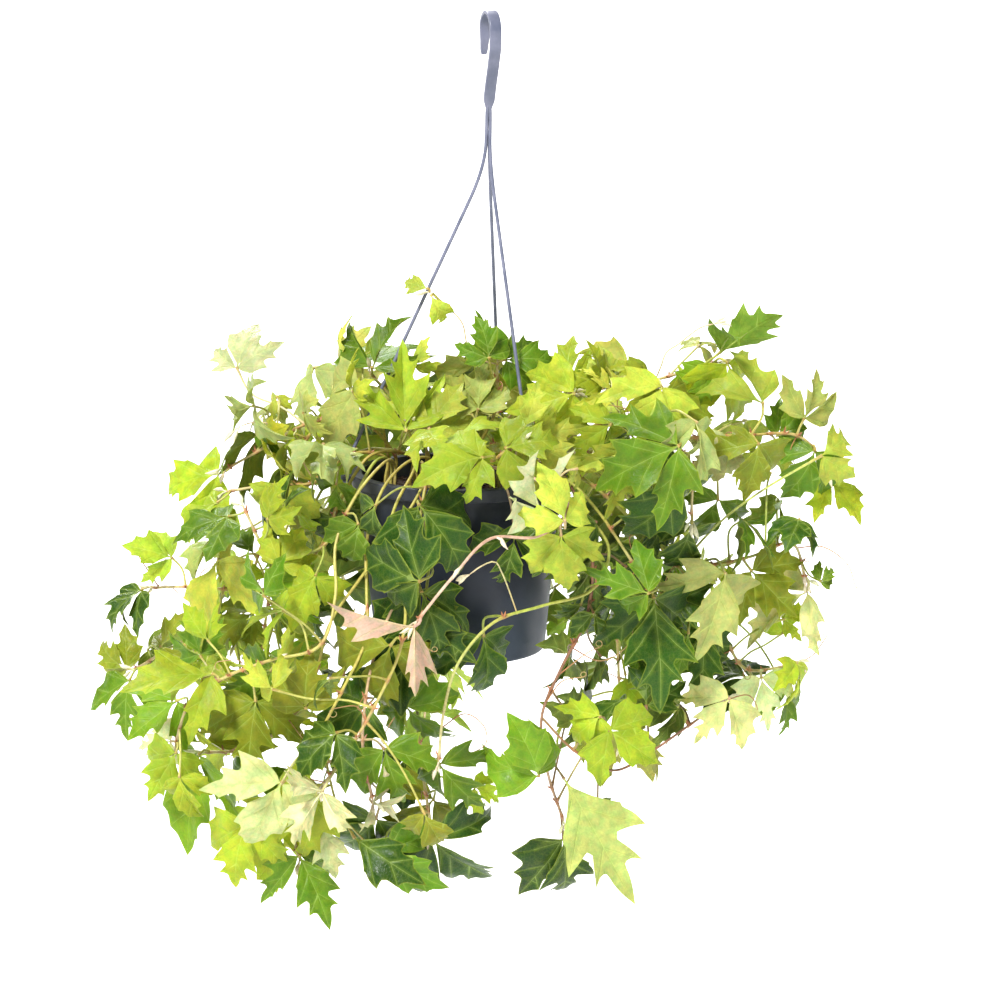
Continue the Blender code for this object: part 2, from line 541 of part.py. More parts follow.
# ------------------------------------------------------------------ stems
def near_points(a, b, c, d):
    """The nearest points of two straight runs a-b and c-d."""
    best = None
    for point, (start, end), swap in ((a, (c, d), False), (b, (c, d), False),
                                      (c, (a, b), True), (d, (a, b), True)):
        foot, share = intersect_point_line(point, start, end)
        foot = start.lerp(end, min(1, max(0, share)))
        pair = (foot, point) if swap else (point, foot)
        if best is None or (pair[0] - pair[1]).length < (best[0] - best[1]).length:
            best = pair
    along, other, gap = b - a, d - c, a - c
    e, f, g = along.dot(along), along.dot(other), other.dot(other)
    h, i = along.dot(gap), other.dot(gap)
    det = e * g - f * f
    if det > 1e-14:
        s, t = (f * i - g * h) / det, (e * i - f * h) / det
        if 0 < s < 1 and 0 < t < 1:
            pair = (a + along * s, c + other * t)
            if (pair[0] - pair[1]).length < (best[0] - best[1]).length:
                best = pair
    return best


def off_the_pot(point):
    """The shift that takes a stem's point clear of the pot's rim and wall, or none."""
    away = Vector((point.x - POT_X, point.y, 0))
    reach, room = away.length, POT_CLEAR
    if point.z > RIM_TOP + room or point.z < RIM_TOP - POT_HEIGHT - room:
        return Vector()
    if reach < NECK_RADIUS - WALL - room and point.z > SOIL_TOP - HOLE_DEPTH:
        return Vector()
    wall = RIM_RADIUS if point.z > RIM_TOP - RIM_BAND - room else pot_radius(point.z)
    out = wall + room - reach
    if out <= 0:
        return Vector()
    up = RIM_TOP + room - point.z
    return Vector((0, 0, up)) if up < out + 0.006 else away.normalized() * out


def bend_clear(route, fixed, obstacles):
    """Bends a stem until it clears the pot and every run laid before it."""
    for _ in range(60):
        moved = False
        shifts = [Vector() for _ in route]
        for k in range(len(route) - 1):
            a, b = route[k], route[k + 1]
            for share in (0, 0.25, 0.5, 0.75, 1):
                push = off_the_pot(a.lerp(b, share))
                if push.length > 1e-5:
                    shifts[k] += push * (1 - share)
                    shifts[k + 1] += push * share
                    moved = True
            for c, d in obstacles:
                if min(c.z, d.z) - max(a.z, b.z) > STEM_CLEAR or min(a.z, b.z) - max(c.z, d.z) > STEM_CLEAR:
                    continue
                p, q = near_points(a, b, c, d)
                gap = p - q
                if gap.length < STEM_CLEAR:
                    away = gap.normalized() if gap.length > 1e-6 else (b - a).cross(d - c).normalized()
                    push = away * (STEM_CLEAR * 1.04 - gap.length)
                    share = (p - a).length / max((b - a).length, 1e-9)
                    shifts[k] += push * (1 - share) * 1.4
                    shifts[k + 1] += push * share * 1.4
                    moved = True
        if not moved:
            return True
        for k in range(fixed, len(route)):
            route[k] = route[k] + shifts[k] * 0.6
    return False


def back_plan():
    """The far side's stems and leaves, in the plan's own form but as points in space."""
    draw = random.Random(BACK_SEED)
    plan = {}
    for number, bearing in enumerate(BACK_BEARINGS):
        reach = BACK_REACH[number % 2] + draw.uniform(-0.02, 0.02)
        drop = BACK_DROP[number % 2] + draw.uniform(-0.02, 0.03)
        lean = draw.uniform(-9, 9)
        rise = around_pot(bearing, 0.066, RIM_TOP + BACK_CREST)
        crest = around_pot(bearing + lean * 0.3, 0.125, RIM_TOP + BACK_CREST * 0.7)
        bend = around_pot(bearing + lean * 0.7, reach * 0.86, RIM_TOP - drop * 0.35)
        tip = around_pot(bearing + lean, reach, RIM_TOP - drop)
        leaves = []
        marks = [(0.30, 40, 82), (0.50, -46, 74), (0.70, 44, 67), (0.86, -40, 71), (1.0, 0, 65)]
        for share, swing, size in marks[1:] if number % 2 else marks[:4]:
            spot = smooth_route([rise, crest, bend, tip], 0.004)
            at = spot[int(share * (len(spot) - 1))]
            away = bearing + lean + swing
            turn = math.radians(away)
            out = Vector((math.cos(turn), math.sin(turn), 0))
            hub = at + out * 0.022 + Vector((0, 0, draw.uniform(-0.004, 0.012)))
            fall = draw.uniform(0.5, 1.1) if share > 0.35 else draw.uniform(0.0, 0.4)
            leaves.append((hub, (out - Vector((0, 0, fall))).normalized(), size + draw.uniform(-6, 6)))
        plan["vine_%02d" % (len(PLAN) + 1 + number)] = dict(
            hole=(bearing, BACK_HOLE_REACH[number % 2] / CM), route=[rise, crest, bend, tip], leaves=leaves)
    return plan


def lay_stems(strands):
    """Every stem's route, bent clear of the pot, the strands and each other."""
    obstacles = [run for route in strands for run in zip(route, route[1:])]
    stems = {}
    plans = [(name, plan, [growth(*place) for place in plan["stem"]]) for name, plan in PLAN.items()]
    plans += [(name, plan, plan["route"]) for name, plan in back_plan().items()]
    for name, plan, places in plans:
        bearing, reach = plan["hole"]
        foot = around_pot(bearing, reach * CM, SOIL_TOP - HOLE_DEPTH + 0.001)
        root = [foot, foot + Vector((0, 0, HOLE_DEPTH + 0.004))]
        rising = foot + Vector((0, 0, HOLE_DEPTH + 0.024))
        route = root + smooth_route([rising, *places], STEM_STEP)
        bend_clear(route, 2, obstacles)
        obstacles += zip(route, route[1:])
        shoots = []
        for shoot in plan.get("shoots", []):
            places = [growth(*place) for place in shoot]
            places[0] = min(route, key=lambda point: (point - places[0]).length)
            branch = smooth_route(places, STEM_STEP)
            bend_clear(branch, 1, [run for run in obstacles if places[0] not in run])
            obstacles += zip(branch, branch[1:])
            shoots.append(branch)
        stems[name] = [route, *shoots]
    return stems


def stem_shape(route, is_shoot):
    """A four-sided tube that thins towards its tip."""
    last = len(route) - 1
    radii = [STEM_RADIUS * (0.86 if is_shoot else 1) * (1 - 0.34 * k / last) for k in range(last + 1)]
    return tube(route, radii, STEM_SIDES)


# ------------------------------------------------------------------ leaves
# Half outlines of the leaflets, (along, aside) for a leaflet one unit long. A middle leaflet is
# alike on both sides; a side leaflet has its larger lobes on the side away from the middle one.
MIDDLE_LOBES = [(0.49, 0.36), (0.50, 0.16), (0.73, 0.24), (0.76, 0.11)]
OUTER_LOBES = [(0.33, 0.43), (0.42, 0.23), (0.66, 0.32), (0.71, 0.14)]
INNER_LOBES = [(0.54, 0.21), (0.66, 0.11)]
PLAIN_MIDDLE = [(0.48, 0.35), (0.64, 0.16)]
PLAIN_OUTER = [(0.38, 0.42), (0.60, 0.20)]
PLAIN_INNER = [(0.53, 0.20)]
FULL_SPREAD = 1.05              # with side leaflets closer than this, the lobes between are smaller
SIDE_LENGTH = 0.88              # of a side leaflet, against the middle one
NOTCH = 0.11                    # how near the leaflets' gaps come to the point where they meet
STALK_HALF = 0.0008
STALK_FREE = 0.006              # the stretch of a stalk next to its stem, which may touch the stem


def leaf_outline(size, form):
    """The flat outline of a leaf, anticlockwise from the stalk's right corner, in metres, and the
    points inside it along the middle rib. A pair is a leaf without its left side leaflet."""
    spread = form["spread"]
    large = size >= LARGE_LEAF
    middle, outer, inner = ((MIDDLE_LOBES, OUTER_LOBES, INNER_LOBES) if large
                            else (PLAIN_MIDDLE, PLAIN_OUTER, PLAIN_INNER))

    def place(along, aside, turn):
        ahead = Vector((math.sin(turn), math.cos(turn)))
        right = Vector((math.cos(turn), -math.sin(turn)))
        return (ahead * along + right * aside) * size

    room = min(1, spread / FULL_SPREAD) ** 1.5
    side = [(along * SIDE_LENGTH, aside * SIDE_LENGTH) for along, aside in outer]
    near = [(along * SIDE_LENGTH, -aside * SIDE_LENGTH * room) for along, aside in reversed(inner)]
    right_leaflet = [place(along, aside, spread) for along, aside in side]
    right_leaflet += [place(SIDE_LENGTH, 0, spread)] + [place(*point, spread) for point in near]
    half = [Vector((STALK_HALF, -0.0022))] + right_leaflet + [place(NOTCH, 0, spread * 0.5)]
    half += [place(along, aside * room, 0) for along, aside in middle]
    left_half = half[:1] + half[1 + len(right_leaflet):] if form["pair"] else half
    mirror = [Vector((-point.x, point.y)) for point in reversed(left_half)]
    hub = Vector((0, 0.001))
    return half + [place(1, 0, 0)] + mirror, [hub, place(0.5, 0, 0)] if large else [hub]


def bent(flat, size, form, lift):
    """A flat leaf point on the arched and folded leaf, a little above or below its middle."""
    if flat.length < 1e-9:
        return Vector((0, 0, lift))
    turn = math.atan2(flat.x, flat.y)
    rib = min((-form["spread"], 0, form["spread"]), key=lambda angle: abs(angle - turn))
    right = Vector((math.cos(rib), -math.sin(rib)))
    aside = flat.dot(right)
    flat = flat - right * aside * (1 - math.cos(form["fold"]))
    reach = flat.length
    curve = form["bend"] / size
    swing = curve * reach
    out, up = math.sin(swing), math.cos(swing)
    ahead = Vector((flat.x, flat.y, 0)) / reach
    height = abs(aside) * math.sin(form["fold"]) + lift
    return ahead * (out / curve + out * height) + Vector((0, 0, (up - 1) / curve + up * height))


def leaf_shape(size, form, frame, stalk, half_blade, half_stalk):
    """A closed leaf: a thin arched blade of three leaflets, drawn out into its four-sided stalk."""
    hub, right, ahead, normal = frame
    outline, rib = leaf_outline(size, form)
    edges = [(k, (k + 1) % len(outline)) for k in range(len(outline))]
    edges += [(len(outline) + k, len(outline) + k + 1) for k in range(len(rib) - 1)]
    points2, _, triangles, _, _, _ = delaunay_2d_cdt(outline + rib, edges, [], 1, 1e-7)
    count = len(points2)
    points = []
    for lift in (half_blade, -half_blade):
        for flat_point in points2:
            local = bent(flat_point, size, form, lift)
            points.append(hub + right * local.x + ahead * local.y + normal * local.z)
    faces = [tuple(triangle) for triangle in triangles]
    faces += [tuple(count + k for k in reversed(triangle)) for triangle in triangles]
    last = len(outline) - 1
    for k in range(last):
        faces.append((k + 1, k, count + k, count + k + 1))
    ring = [0, last, count + last, count]
    for centre, _, side, other in ring_frames([points[0].lerp(points[last], 0.5), *stalk], right)[1:]:
        start = len(points)
        points += [centre + side * a * half_stalk + other * b * half_stalk
                   for a, b in ((1, 1), (-1, 1), (-1, -1), (1, -1))]
        for k in range(4):
            after = (k + 1) % 4
            faces.append((ring[k], ring[after], start + after, start + k))
        ring = [start + k for k in range(4)]
    faces.append(tuple(ring))
    return points, faces


def leaf_frame(hub, ahead, face, twist):
    """The leaf's hub, right side, direction and upper side, turned about its own direction."""
    ahead = ahead.normalized()
    normal = (face - ahead * face.dot(ahead)).normalized()
    right = ahead.cross(normal)
    turn = math.radians(twist)
    up = normal * math.cos(turn) + right * math.sin(turn)
    return hub, ahead.cross(up), ahead, up


def stalk_route(frame, stem_point):
    """A leaf stalk that leaves the leaf backwards and bows to its place on the stem."""
    hub, _, ahead, normal = frame
    start = hub - ahead * 0.0022
    span = (stem_point - start).length
    first = start - ahead * span * 0.34 - normal * span * 0.10
    second = stem_point + (start - stem_point) * 0.30 + Vector((0, 0, span * 0.12))
    shares = (0.5, 1.0) if span < 0.045 else (0.36, 0.7, 1.0)
    route = []
    for t in shares:
        u = 1 - t
        route.append(start * u ** 3 + first * 3 * u * u * t + second * 3 * u * t * t + stem_point * t ** 3)
    return route


def stem_place(stem, hub, taken):
    """The place on a stem where a leaf's stalk joins it: near the leaf, a little towards the root,
    and apart from the stalks that are there."""
    fine = []
    for route in stem:
        fine += smooth_route(route[2:] if route is stem[0] else route[1:], 0.003)
    nearest = min(range(len(fine)), key=lambda k: (fine[k] - hub).length)
    start = max(0, nearest - round((fine[nearest] - hub).length * 0.35 / 0.003))
    order = sorted(range(len(fine)), key=lambda k: abs(k - start))
    for k in order:
        if all((fine[k] - other).length > 0.011 for other in taken):
            return on_polyline(stem, fine[k])
    return fine[start]


def on_polyline(stem, point):
    """The nearest point of a stem's straight runs."""
    best = None
    for route in stem:
        for a, b in zip(route, route[1:]):
            _, share = intersect_point_line(point, a, b)
            foot = a.lerp(b, min(1, max(0, share)))
            if best is None or (foot - point).length < (best - point).length:
                best = foot
    return best


def leaf_tries():
    """Small departures from a leaf's planned place, the smallest first: depth (cm), twist, pitch."""
    tries = []
    for depth in (0, -0.8, 0.8, -1.6, 1.6, -2.4, 2.4, -3.4, 3.4, -4.6, 4.6, -6, 6):
        for twist in (0, 14, -14, 28, -28, 44, -44):
            for pitch in (0, 12, -12, 26, -26):
                cost = abs(depth) / 1.4 + abs(twist) / 20 + abs(pitch) / 16
                tries.append((cost, depth, twist, pitch))
    return [entry[1:] for entry in sorted(tries)]


class Thicket:
    """What has been placed so far, to keep every new leaf clear of it."""

    def __init__(self):
        self.points, self.faces, self.tree = [], [], None

    def add(self, shape):
        base = len(self.points)
        self.points += shape[0]
        self.faces += [tuple(base + k for k in face) for face in shape[1]]
        self.tree = None

    def touches(self, shape):
        if self.tree is None:
            self.tree = BVHTree.FromPolygons(self.points, self.faces)
        return bool(BVHTree.FromPolygons(*shape).overlap(self.tree))


def crosses_itself(shape):
    """Whether faces of a shape that share no corner cross each other."""
    tree = BVHTree.FromPolygons(*shape)
    faces = shape[1]
    return any(a < b and not set(faces[a]) & set(faces[b]) for a, b in tree.overlap(tree))


def planned_leaves(draw):
    """Every leaf as (vine, place, direction, size, form, pitch, twist, whether its back shows)."""
    rows = []
    for name, plan in PLAN.items():
        for across, drop, depth, aim, size, *more in plan["leaves"]:
            extra = more[0] if more else {}
            rows.append((name, (across, drop, depth), aim, size, extra))
    for name, plan in back_plan().items():
        for hub, ahead, size in plan["leaves"]:
            rows.append((name, hub, ahead, size, {}))
    leaves = []
    for name, place, aim, size, extra in rows:
        form = dict(spread=math.radians(extra.get("spread", 66) + draw.uniform(-6, 6)),
                    bend=extra.get("bend", draw.uniform(0.35, 0.95)),
                    fold=extra.get("fold", draw.uniform(0.14, 0.46)), pair=extra.get("pair", False))
        pitch = extra.get("pitch", draw.uniform(2, 34))
        twist = extra.get("twist", draw.uniform(-38, 38))
        leaves.append((name, place, aim, size * 0.001, form, pitch, twist, extra.get("under", False)))
    return leaves


def try_leaf(leaf, depth, twist_more, pitch_more):
    """The frame of one leaf at a departure from its plan."""
    name, place, aim, size, form, pitch, twist, under = leaf
    if isinstance(aim, Vector):
        out = Vector((place.x - POT_X, place.y, 0)).normalized()
        hub = place - out * depth * CM
        ahead = (aim + Vector((0, 0, math.sin(math.radians(pitch_more))))).normalized()
        face = out * 0.7 + Vector((0, 0, 0.7))
        return leaf_frame(hub, ahead, face, twist + twist_more)
    across, drop, at_depth = place
    hub = growth(across, drop, at_depth + depth)
    turn, lean = math.radians(aim), math.radians(pitch + pitch_more)
    seen = Vector((math.cos(turn), 0, math.sin(turn)))
    ahead = seen * math.cos(lean) + Vector((0, -math.sin(lean), 0))
    out = Vector((hub.x - POT_X, hub.y, 0)).normalized()
    face = Vector((0, -0.55, 0.38)) + out * 0.50
    return leaf_frame(hub, ahead, -face if under else face, twist + twist_more)


def place_leaves(stems, thicket):
    """Every leaf, the largest first, at the nearest clear departure from its plan, as (vine, shape)."""
    draw = random.Random(11)
    joints = {name: [] for name in stems}
    placed = []
    for leaf in sorted(planned_leaves(draw), key=lambda entry: -entry[3]):
        name, _, _, size, form, *_ = leaf
        for depth, twist, pitch in leaf_tries():
            frame = try_leaf(leaf, depth, twist, pitch)
            joint = stem_place(stems[name], frame[0], joints[name])
            stalk = stalk_route(frame, joint)
            last_run = (stalk[-1] - stalk[-2]).length
            short = stalk[:-1] + [stalk[-2].lerp(stalk[-1], 1 - min(0.9, STALK_FREE / last_run))]
            fat = leaf_shape(size * 1.03, form, frame, short, BLADE / 2 + LEAF_CLEAR,
                             STALK_HALF + LEAF_CLEAR * 0.6)
            shape = leaf_shape(size, form, frame, stalk, BLADE / 2, STALK_HALF)
            if not thicket.touches(fat) and not crosses_itself(shape):
                thicket.add(shape)
                joints[name].append(joint)
                placed.append((name, shape))
                break
    return placed


def make_vines(stems, placed):
    leaf_green = material("leaf", (0.09, 0.22, 0.02), 0.5)
    for name, routes in stems.items():
        vine = add_object(name, stem_shape(routes[0], False), leaf_green)
        parts = [add_object("shoot", stem_shape(route, True), leaf_green) for route in routes[1:]]
        parts += [add_object("leaf", shape, leaf_green) for owner, shape in placed if owner == name]
        for piece in [vine, *parts]:
            face_outwards(piece)
        apply_boolean(vine, parts, "UNION")


def main():
    clear_scene()
    make_pot()
    hook = make_hook()
    make_strands(hook.data.materials[0])
    strands = [strand_route(bearing) for bearing in STRAND_BEARINGS.values()]
    stems = lay_stems(strands)
    make_soil([routes[0][0] for routes in stems.values()])
    thicket = Thicket()
    thicket.add(turned(pot_outside(), POT_SIDES))
    for route in strands:
        thicket.add(tube(route, [STRAND_RADIUS] * len(route), STRAND_SIDES))
    for routes in stems.values():
        for number, route in enumerate(routes):
            thicket.add(stem_shape(route, number > 0))
    make_vines(stems, place_leaves(stems, thicket))


main()
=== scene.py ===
"""The looks of the grape ivy in its hanging pot: finely shaped leaves, stems and tendrils, the pot,
its soil and the moulded hanger, with a camera, soft studio light and a pale floor.

Metres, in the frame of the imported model: +Z up, the front towards -Y and the origin under the top
of the hook. The growth plan and the rules that lay the stems and leaves are the part's own, so every
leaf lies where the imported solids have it. Smaller leaves, tendrils and buds are added to them.
"""
import json
import math
import random

import bpy
import bmesh
import numpy as np
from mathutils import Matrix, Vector, noise
from mathutils.bvhtree import BVHTree
from mathutils.geometry import delaunay_2d_cdt, intersect_point_line

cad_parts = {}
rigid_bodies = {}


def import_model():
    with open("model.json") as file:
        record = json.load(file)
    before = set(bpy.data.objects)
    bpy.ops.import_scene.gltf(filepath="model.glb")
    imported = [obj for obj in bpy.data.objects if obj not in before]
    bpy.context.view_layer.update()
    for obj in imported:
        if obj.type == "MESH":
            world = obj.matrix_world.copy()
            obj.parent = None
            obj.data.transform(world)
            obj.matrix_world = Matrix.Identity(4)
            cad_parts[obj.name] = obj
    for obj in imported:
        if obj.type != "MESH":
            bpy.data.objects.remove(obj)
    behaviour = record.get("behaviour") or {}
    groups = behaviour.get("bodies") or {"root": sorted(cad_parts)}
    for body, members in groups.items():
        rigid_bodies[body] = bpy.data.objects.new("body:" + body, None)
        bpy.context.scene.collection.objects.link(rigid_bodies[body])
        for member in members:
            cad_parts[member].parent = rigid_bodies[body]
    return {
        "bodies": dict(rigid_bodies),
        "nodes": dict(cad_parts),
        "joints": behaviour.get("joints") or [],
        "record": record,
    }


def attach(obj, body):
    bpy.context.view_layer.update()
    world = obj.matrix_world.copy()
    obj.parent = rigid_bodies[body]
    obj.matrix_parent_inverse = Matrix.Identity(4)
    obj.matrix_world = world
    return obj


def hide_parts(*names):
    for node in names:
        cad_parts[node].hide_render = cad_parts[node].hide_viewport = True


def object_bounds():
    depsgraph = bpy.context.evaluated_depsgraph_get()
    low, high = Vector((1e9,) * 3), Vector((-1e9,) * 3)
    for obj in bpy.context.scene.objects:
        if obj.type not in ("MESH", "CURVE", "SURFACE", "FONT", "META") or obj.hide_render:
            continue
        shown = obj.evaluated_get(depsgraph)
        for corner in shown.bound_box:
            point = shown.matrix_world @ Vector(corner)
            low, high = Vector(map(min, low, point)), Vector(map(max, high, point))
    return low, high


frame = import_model()
CAD_BOX = [Vector(corner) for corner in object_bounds()]

CM = 0.01
GAP = 0.0003                    # left between pieces that touch

# ---------- driving dimensions: the pot
POT_X = -0.0215                 # the pot's upright axis, measured from the hook's seat
RIM_TOP = -0.375
POT_HEIGHT = 0.150
RIM_RADIUS = 0.090
RIM_BAND = 0.011                # height of the band round the rim
NECK_RADIUS = 0.0835            # outside, just under the band
BASE_RADIUS = 0.071
WALL = 0.0024
POT_SIDES = 32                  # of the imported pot, and of the detailed one
WALL_SIDES = 144
SOIL_TOP = RIM_TOP - 0.013
SOIL_FALL = 0.004               # how far the soil's low dome falls to its edge
HOLE_DEPTH = 0.018              # of the holes in the soil, which the stems' feet stand in
DOME_RINGS = 26                 # of the detailed soil
DOME_SIDES = 72
CRUMBS = 1100

# ---------- driving dimensions: the hanger
HOOK_TURN = math.radians(74)    # the hook's own plane, turned from the X axis towards the back
HOOK_CENTRE = (0.0041, -0.0040, -0.0138)
HOOK_RADIUS = 0.0159            # centre line of the arch
ARCH_STEPS = 10
STRAP = 0.0028                  # thickness of the flat strap
STRAND_BEARINGS = {"hanger_strand_right": -51, "hanger_strand_back": 69, "hanger_strand_left": 189}
STRAND_RADIUS = 0.0015
STRAND_SIDES = 6
STRAND_TOP = -0.1015
STRAND_SPREAD = 0.0020          # how far each strand's top stands from their common axis
BEND_DROP = 0.020               # each strand's bend: from its top down to the corner it rounds off,
BEND_RUN = 0.032                # and from there along its slope
BEND_STEPS = 4
EAR_REACH = 0.0945              # the ear's hole, from the pot's axis
EAR_TOP = RIM_TOP - 0.0015
EAR_THICK = 0.003
EAR_SINK = 0.0035               # how deep the ear's root stands in the rim band
EAR_TIP = 0.0048                # from the hole's centre to the ear's outer edge
EAR_HALF = 0.0062               # half the ear's width at its root
EAR_HOLE = STRAND_RADIUS + 0.0007
EAR_HOLE_SIDES = 20
BUTTON_RADIUS = 0.0034
BUTTON_THICK = 0.0024

# ---------- driving dimensions: the plant
EYE = Vector((0.012, -2.552, 0.096))    # where the growth plan below is looked at from
BOW = 0.0075                    # how the plan's card bows back, cm for each cm squared
STEM_RADIUS = 0.0017
STEM_SIDES = 4
STEM_STEP = 0.042               # length of one straight run of a stem
SPLINE_STEPS = 16               # of a smooth curve, from each given place to the next
STEM_CLEAR = 0.0048             # least distance between two stems' centre lines
POT_CLEAR = 0.0045              # least distance from a stem's centre line to the pot
BLADE = 0.0008                  # thickness of a leaf
LEAF_CLEAR = 0.0009             # least gap round a leaf
LARGE_LEAF = 0.083              # from this leaflet length on, a leaf has all its lobes
GREAT_LEAF = 0.115              # above this length a leaf is one leaflet, and lies flat
FOOT_LIFT = 0.001               # a stem's foot, over the bottom of its hole
FOOT_TOP = 0.004                # where its straight foot ends, over the hole,
FOOT_RISE = 0.024               # and the height from which it bends to the first place of its plan
SHOOT_SHRINK = 0.86             # a side shoot's thickness, against its stem's
FINE_STEP = 0.003               # between the places of a stem that a stalk may join
BARK_STEP = 0.0042              # between the rings of a detailed stem
JOINT_APART = 0.011             # least distance between two stalks on a stem
JOINT_LEAN = 0.35               # how far towards the root a stalk joins, against its length
STALK_BACK = 0.0022             # where a stalk starts, behind the point where the leaflets meet

# ---------- the seeds of the random draws
PLAN_SEED = 11
BACK_SEED = 7
SMALL_SEED = 23
FILL_SEED = 37
VINE_SEED = 3
LEAFLET_SEED = 5
SOIL_SEED = 8


def vine(number):
    """The name of a vine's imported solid."""
    return "vine_%02d" % number


def growth(across, drop, depth):
    """A place of the plan: centimetres right of and below the hook's seat, as it looks from EYE
    against an upright card through the seat, moved along that line of sight to its own depth,
    which is counted from a card that bows back on both sides of the pot."""
    card = Vector((across * CM, 0, -drop * CM))
    bowed = depth + BOW * (across - POT_X / CM) ** 2
    return EYE + (card - EYE) * ((bowed * CM - EYE.y) / -EYE.y)


def around_pot(bearing, reach, height):
    """A point at a bearing (degrees from +X, turning to the back) and reach from the pot's axis."""
    turn = math.radians(bearing)
    return Vector((POT_X + reach * math.cos(turn), reach * math.sin(turn), height))


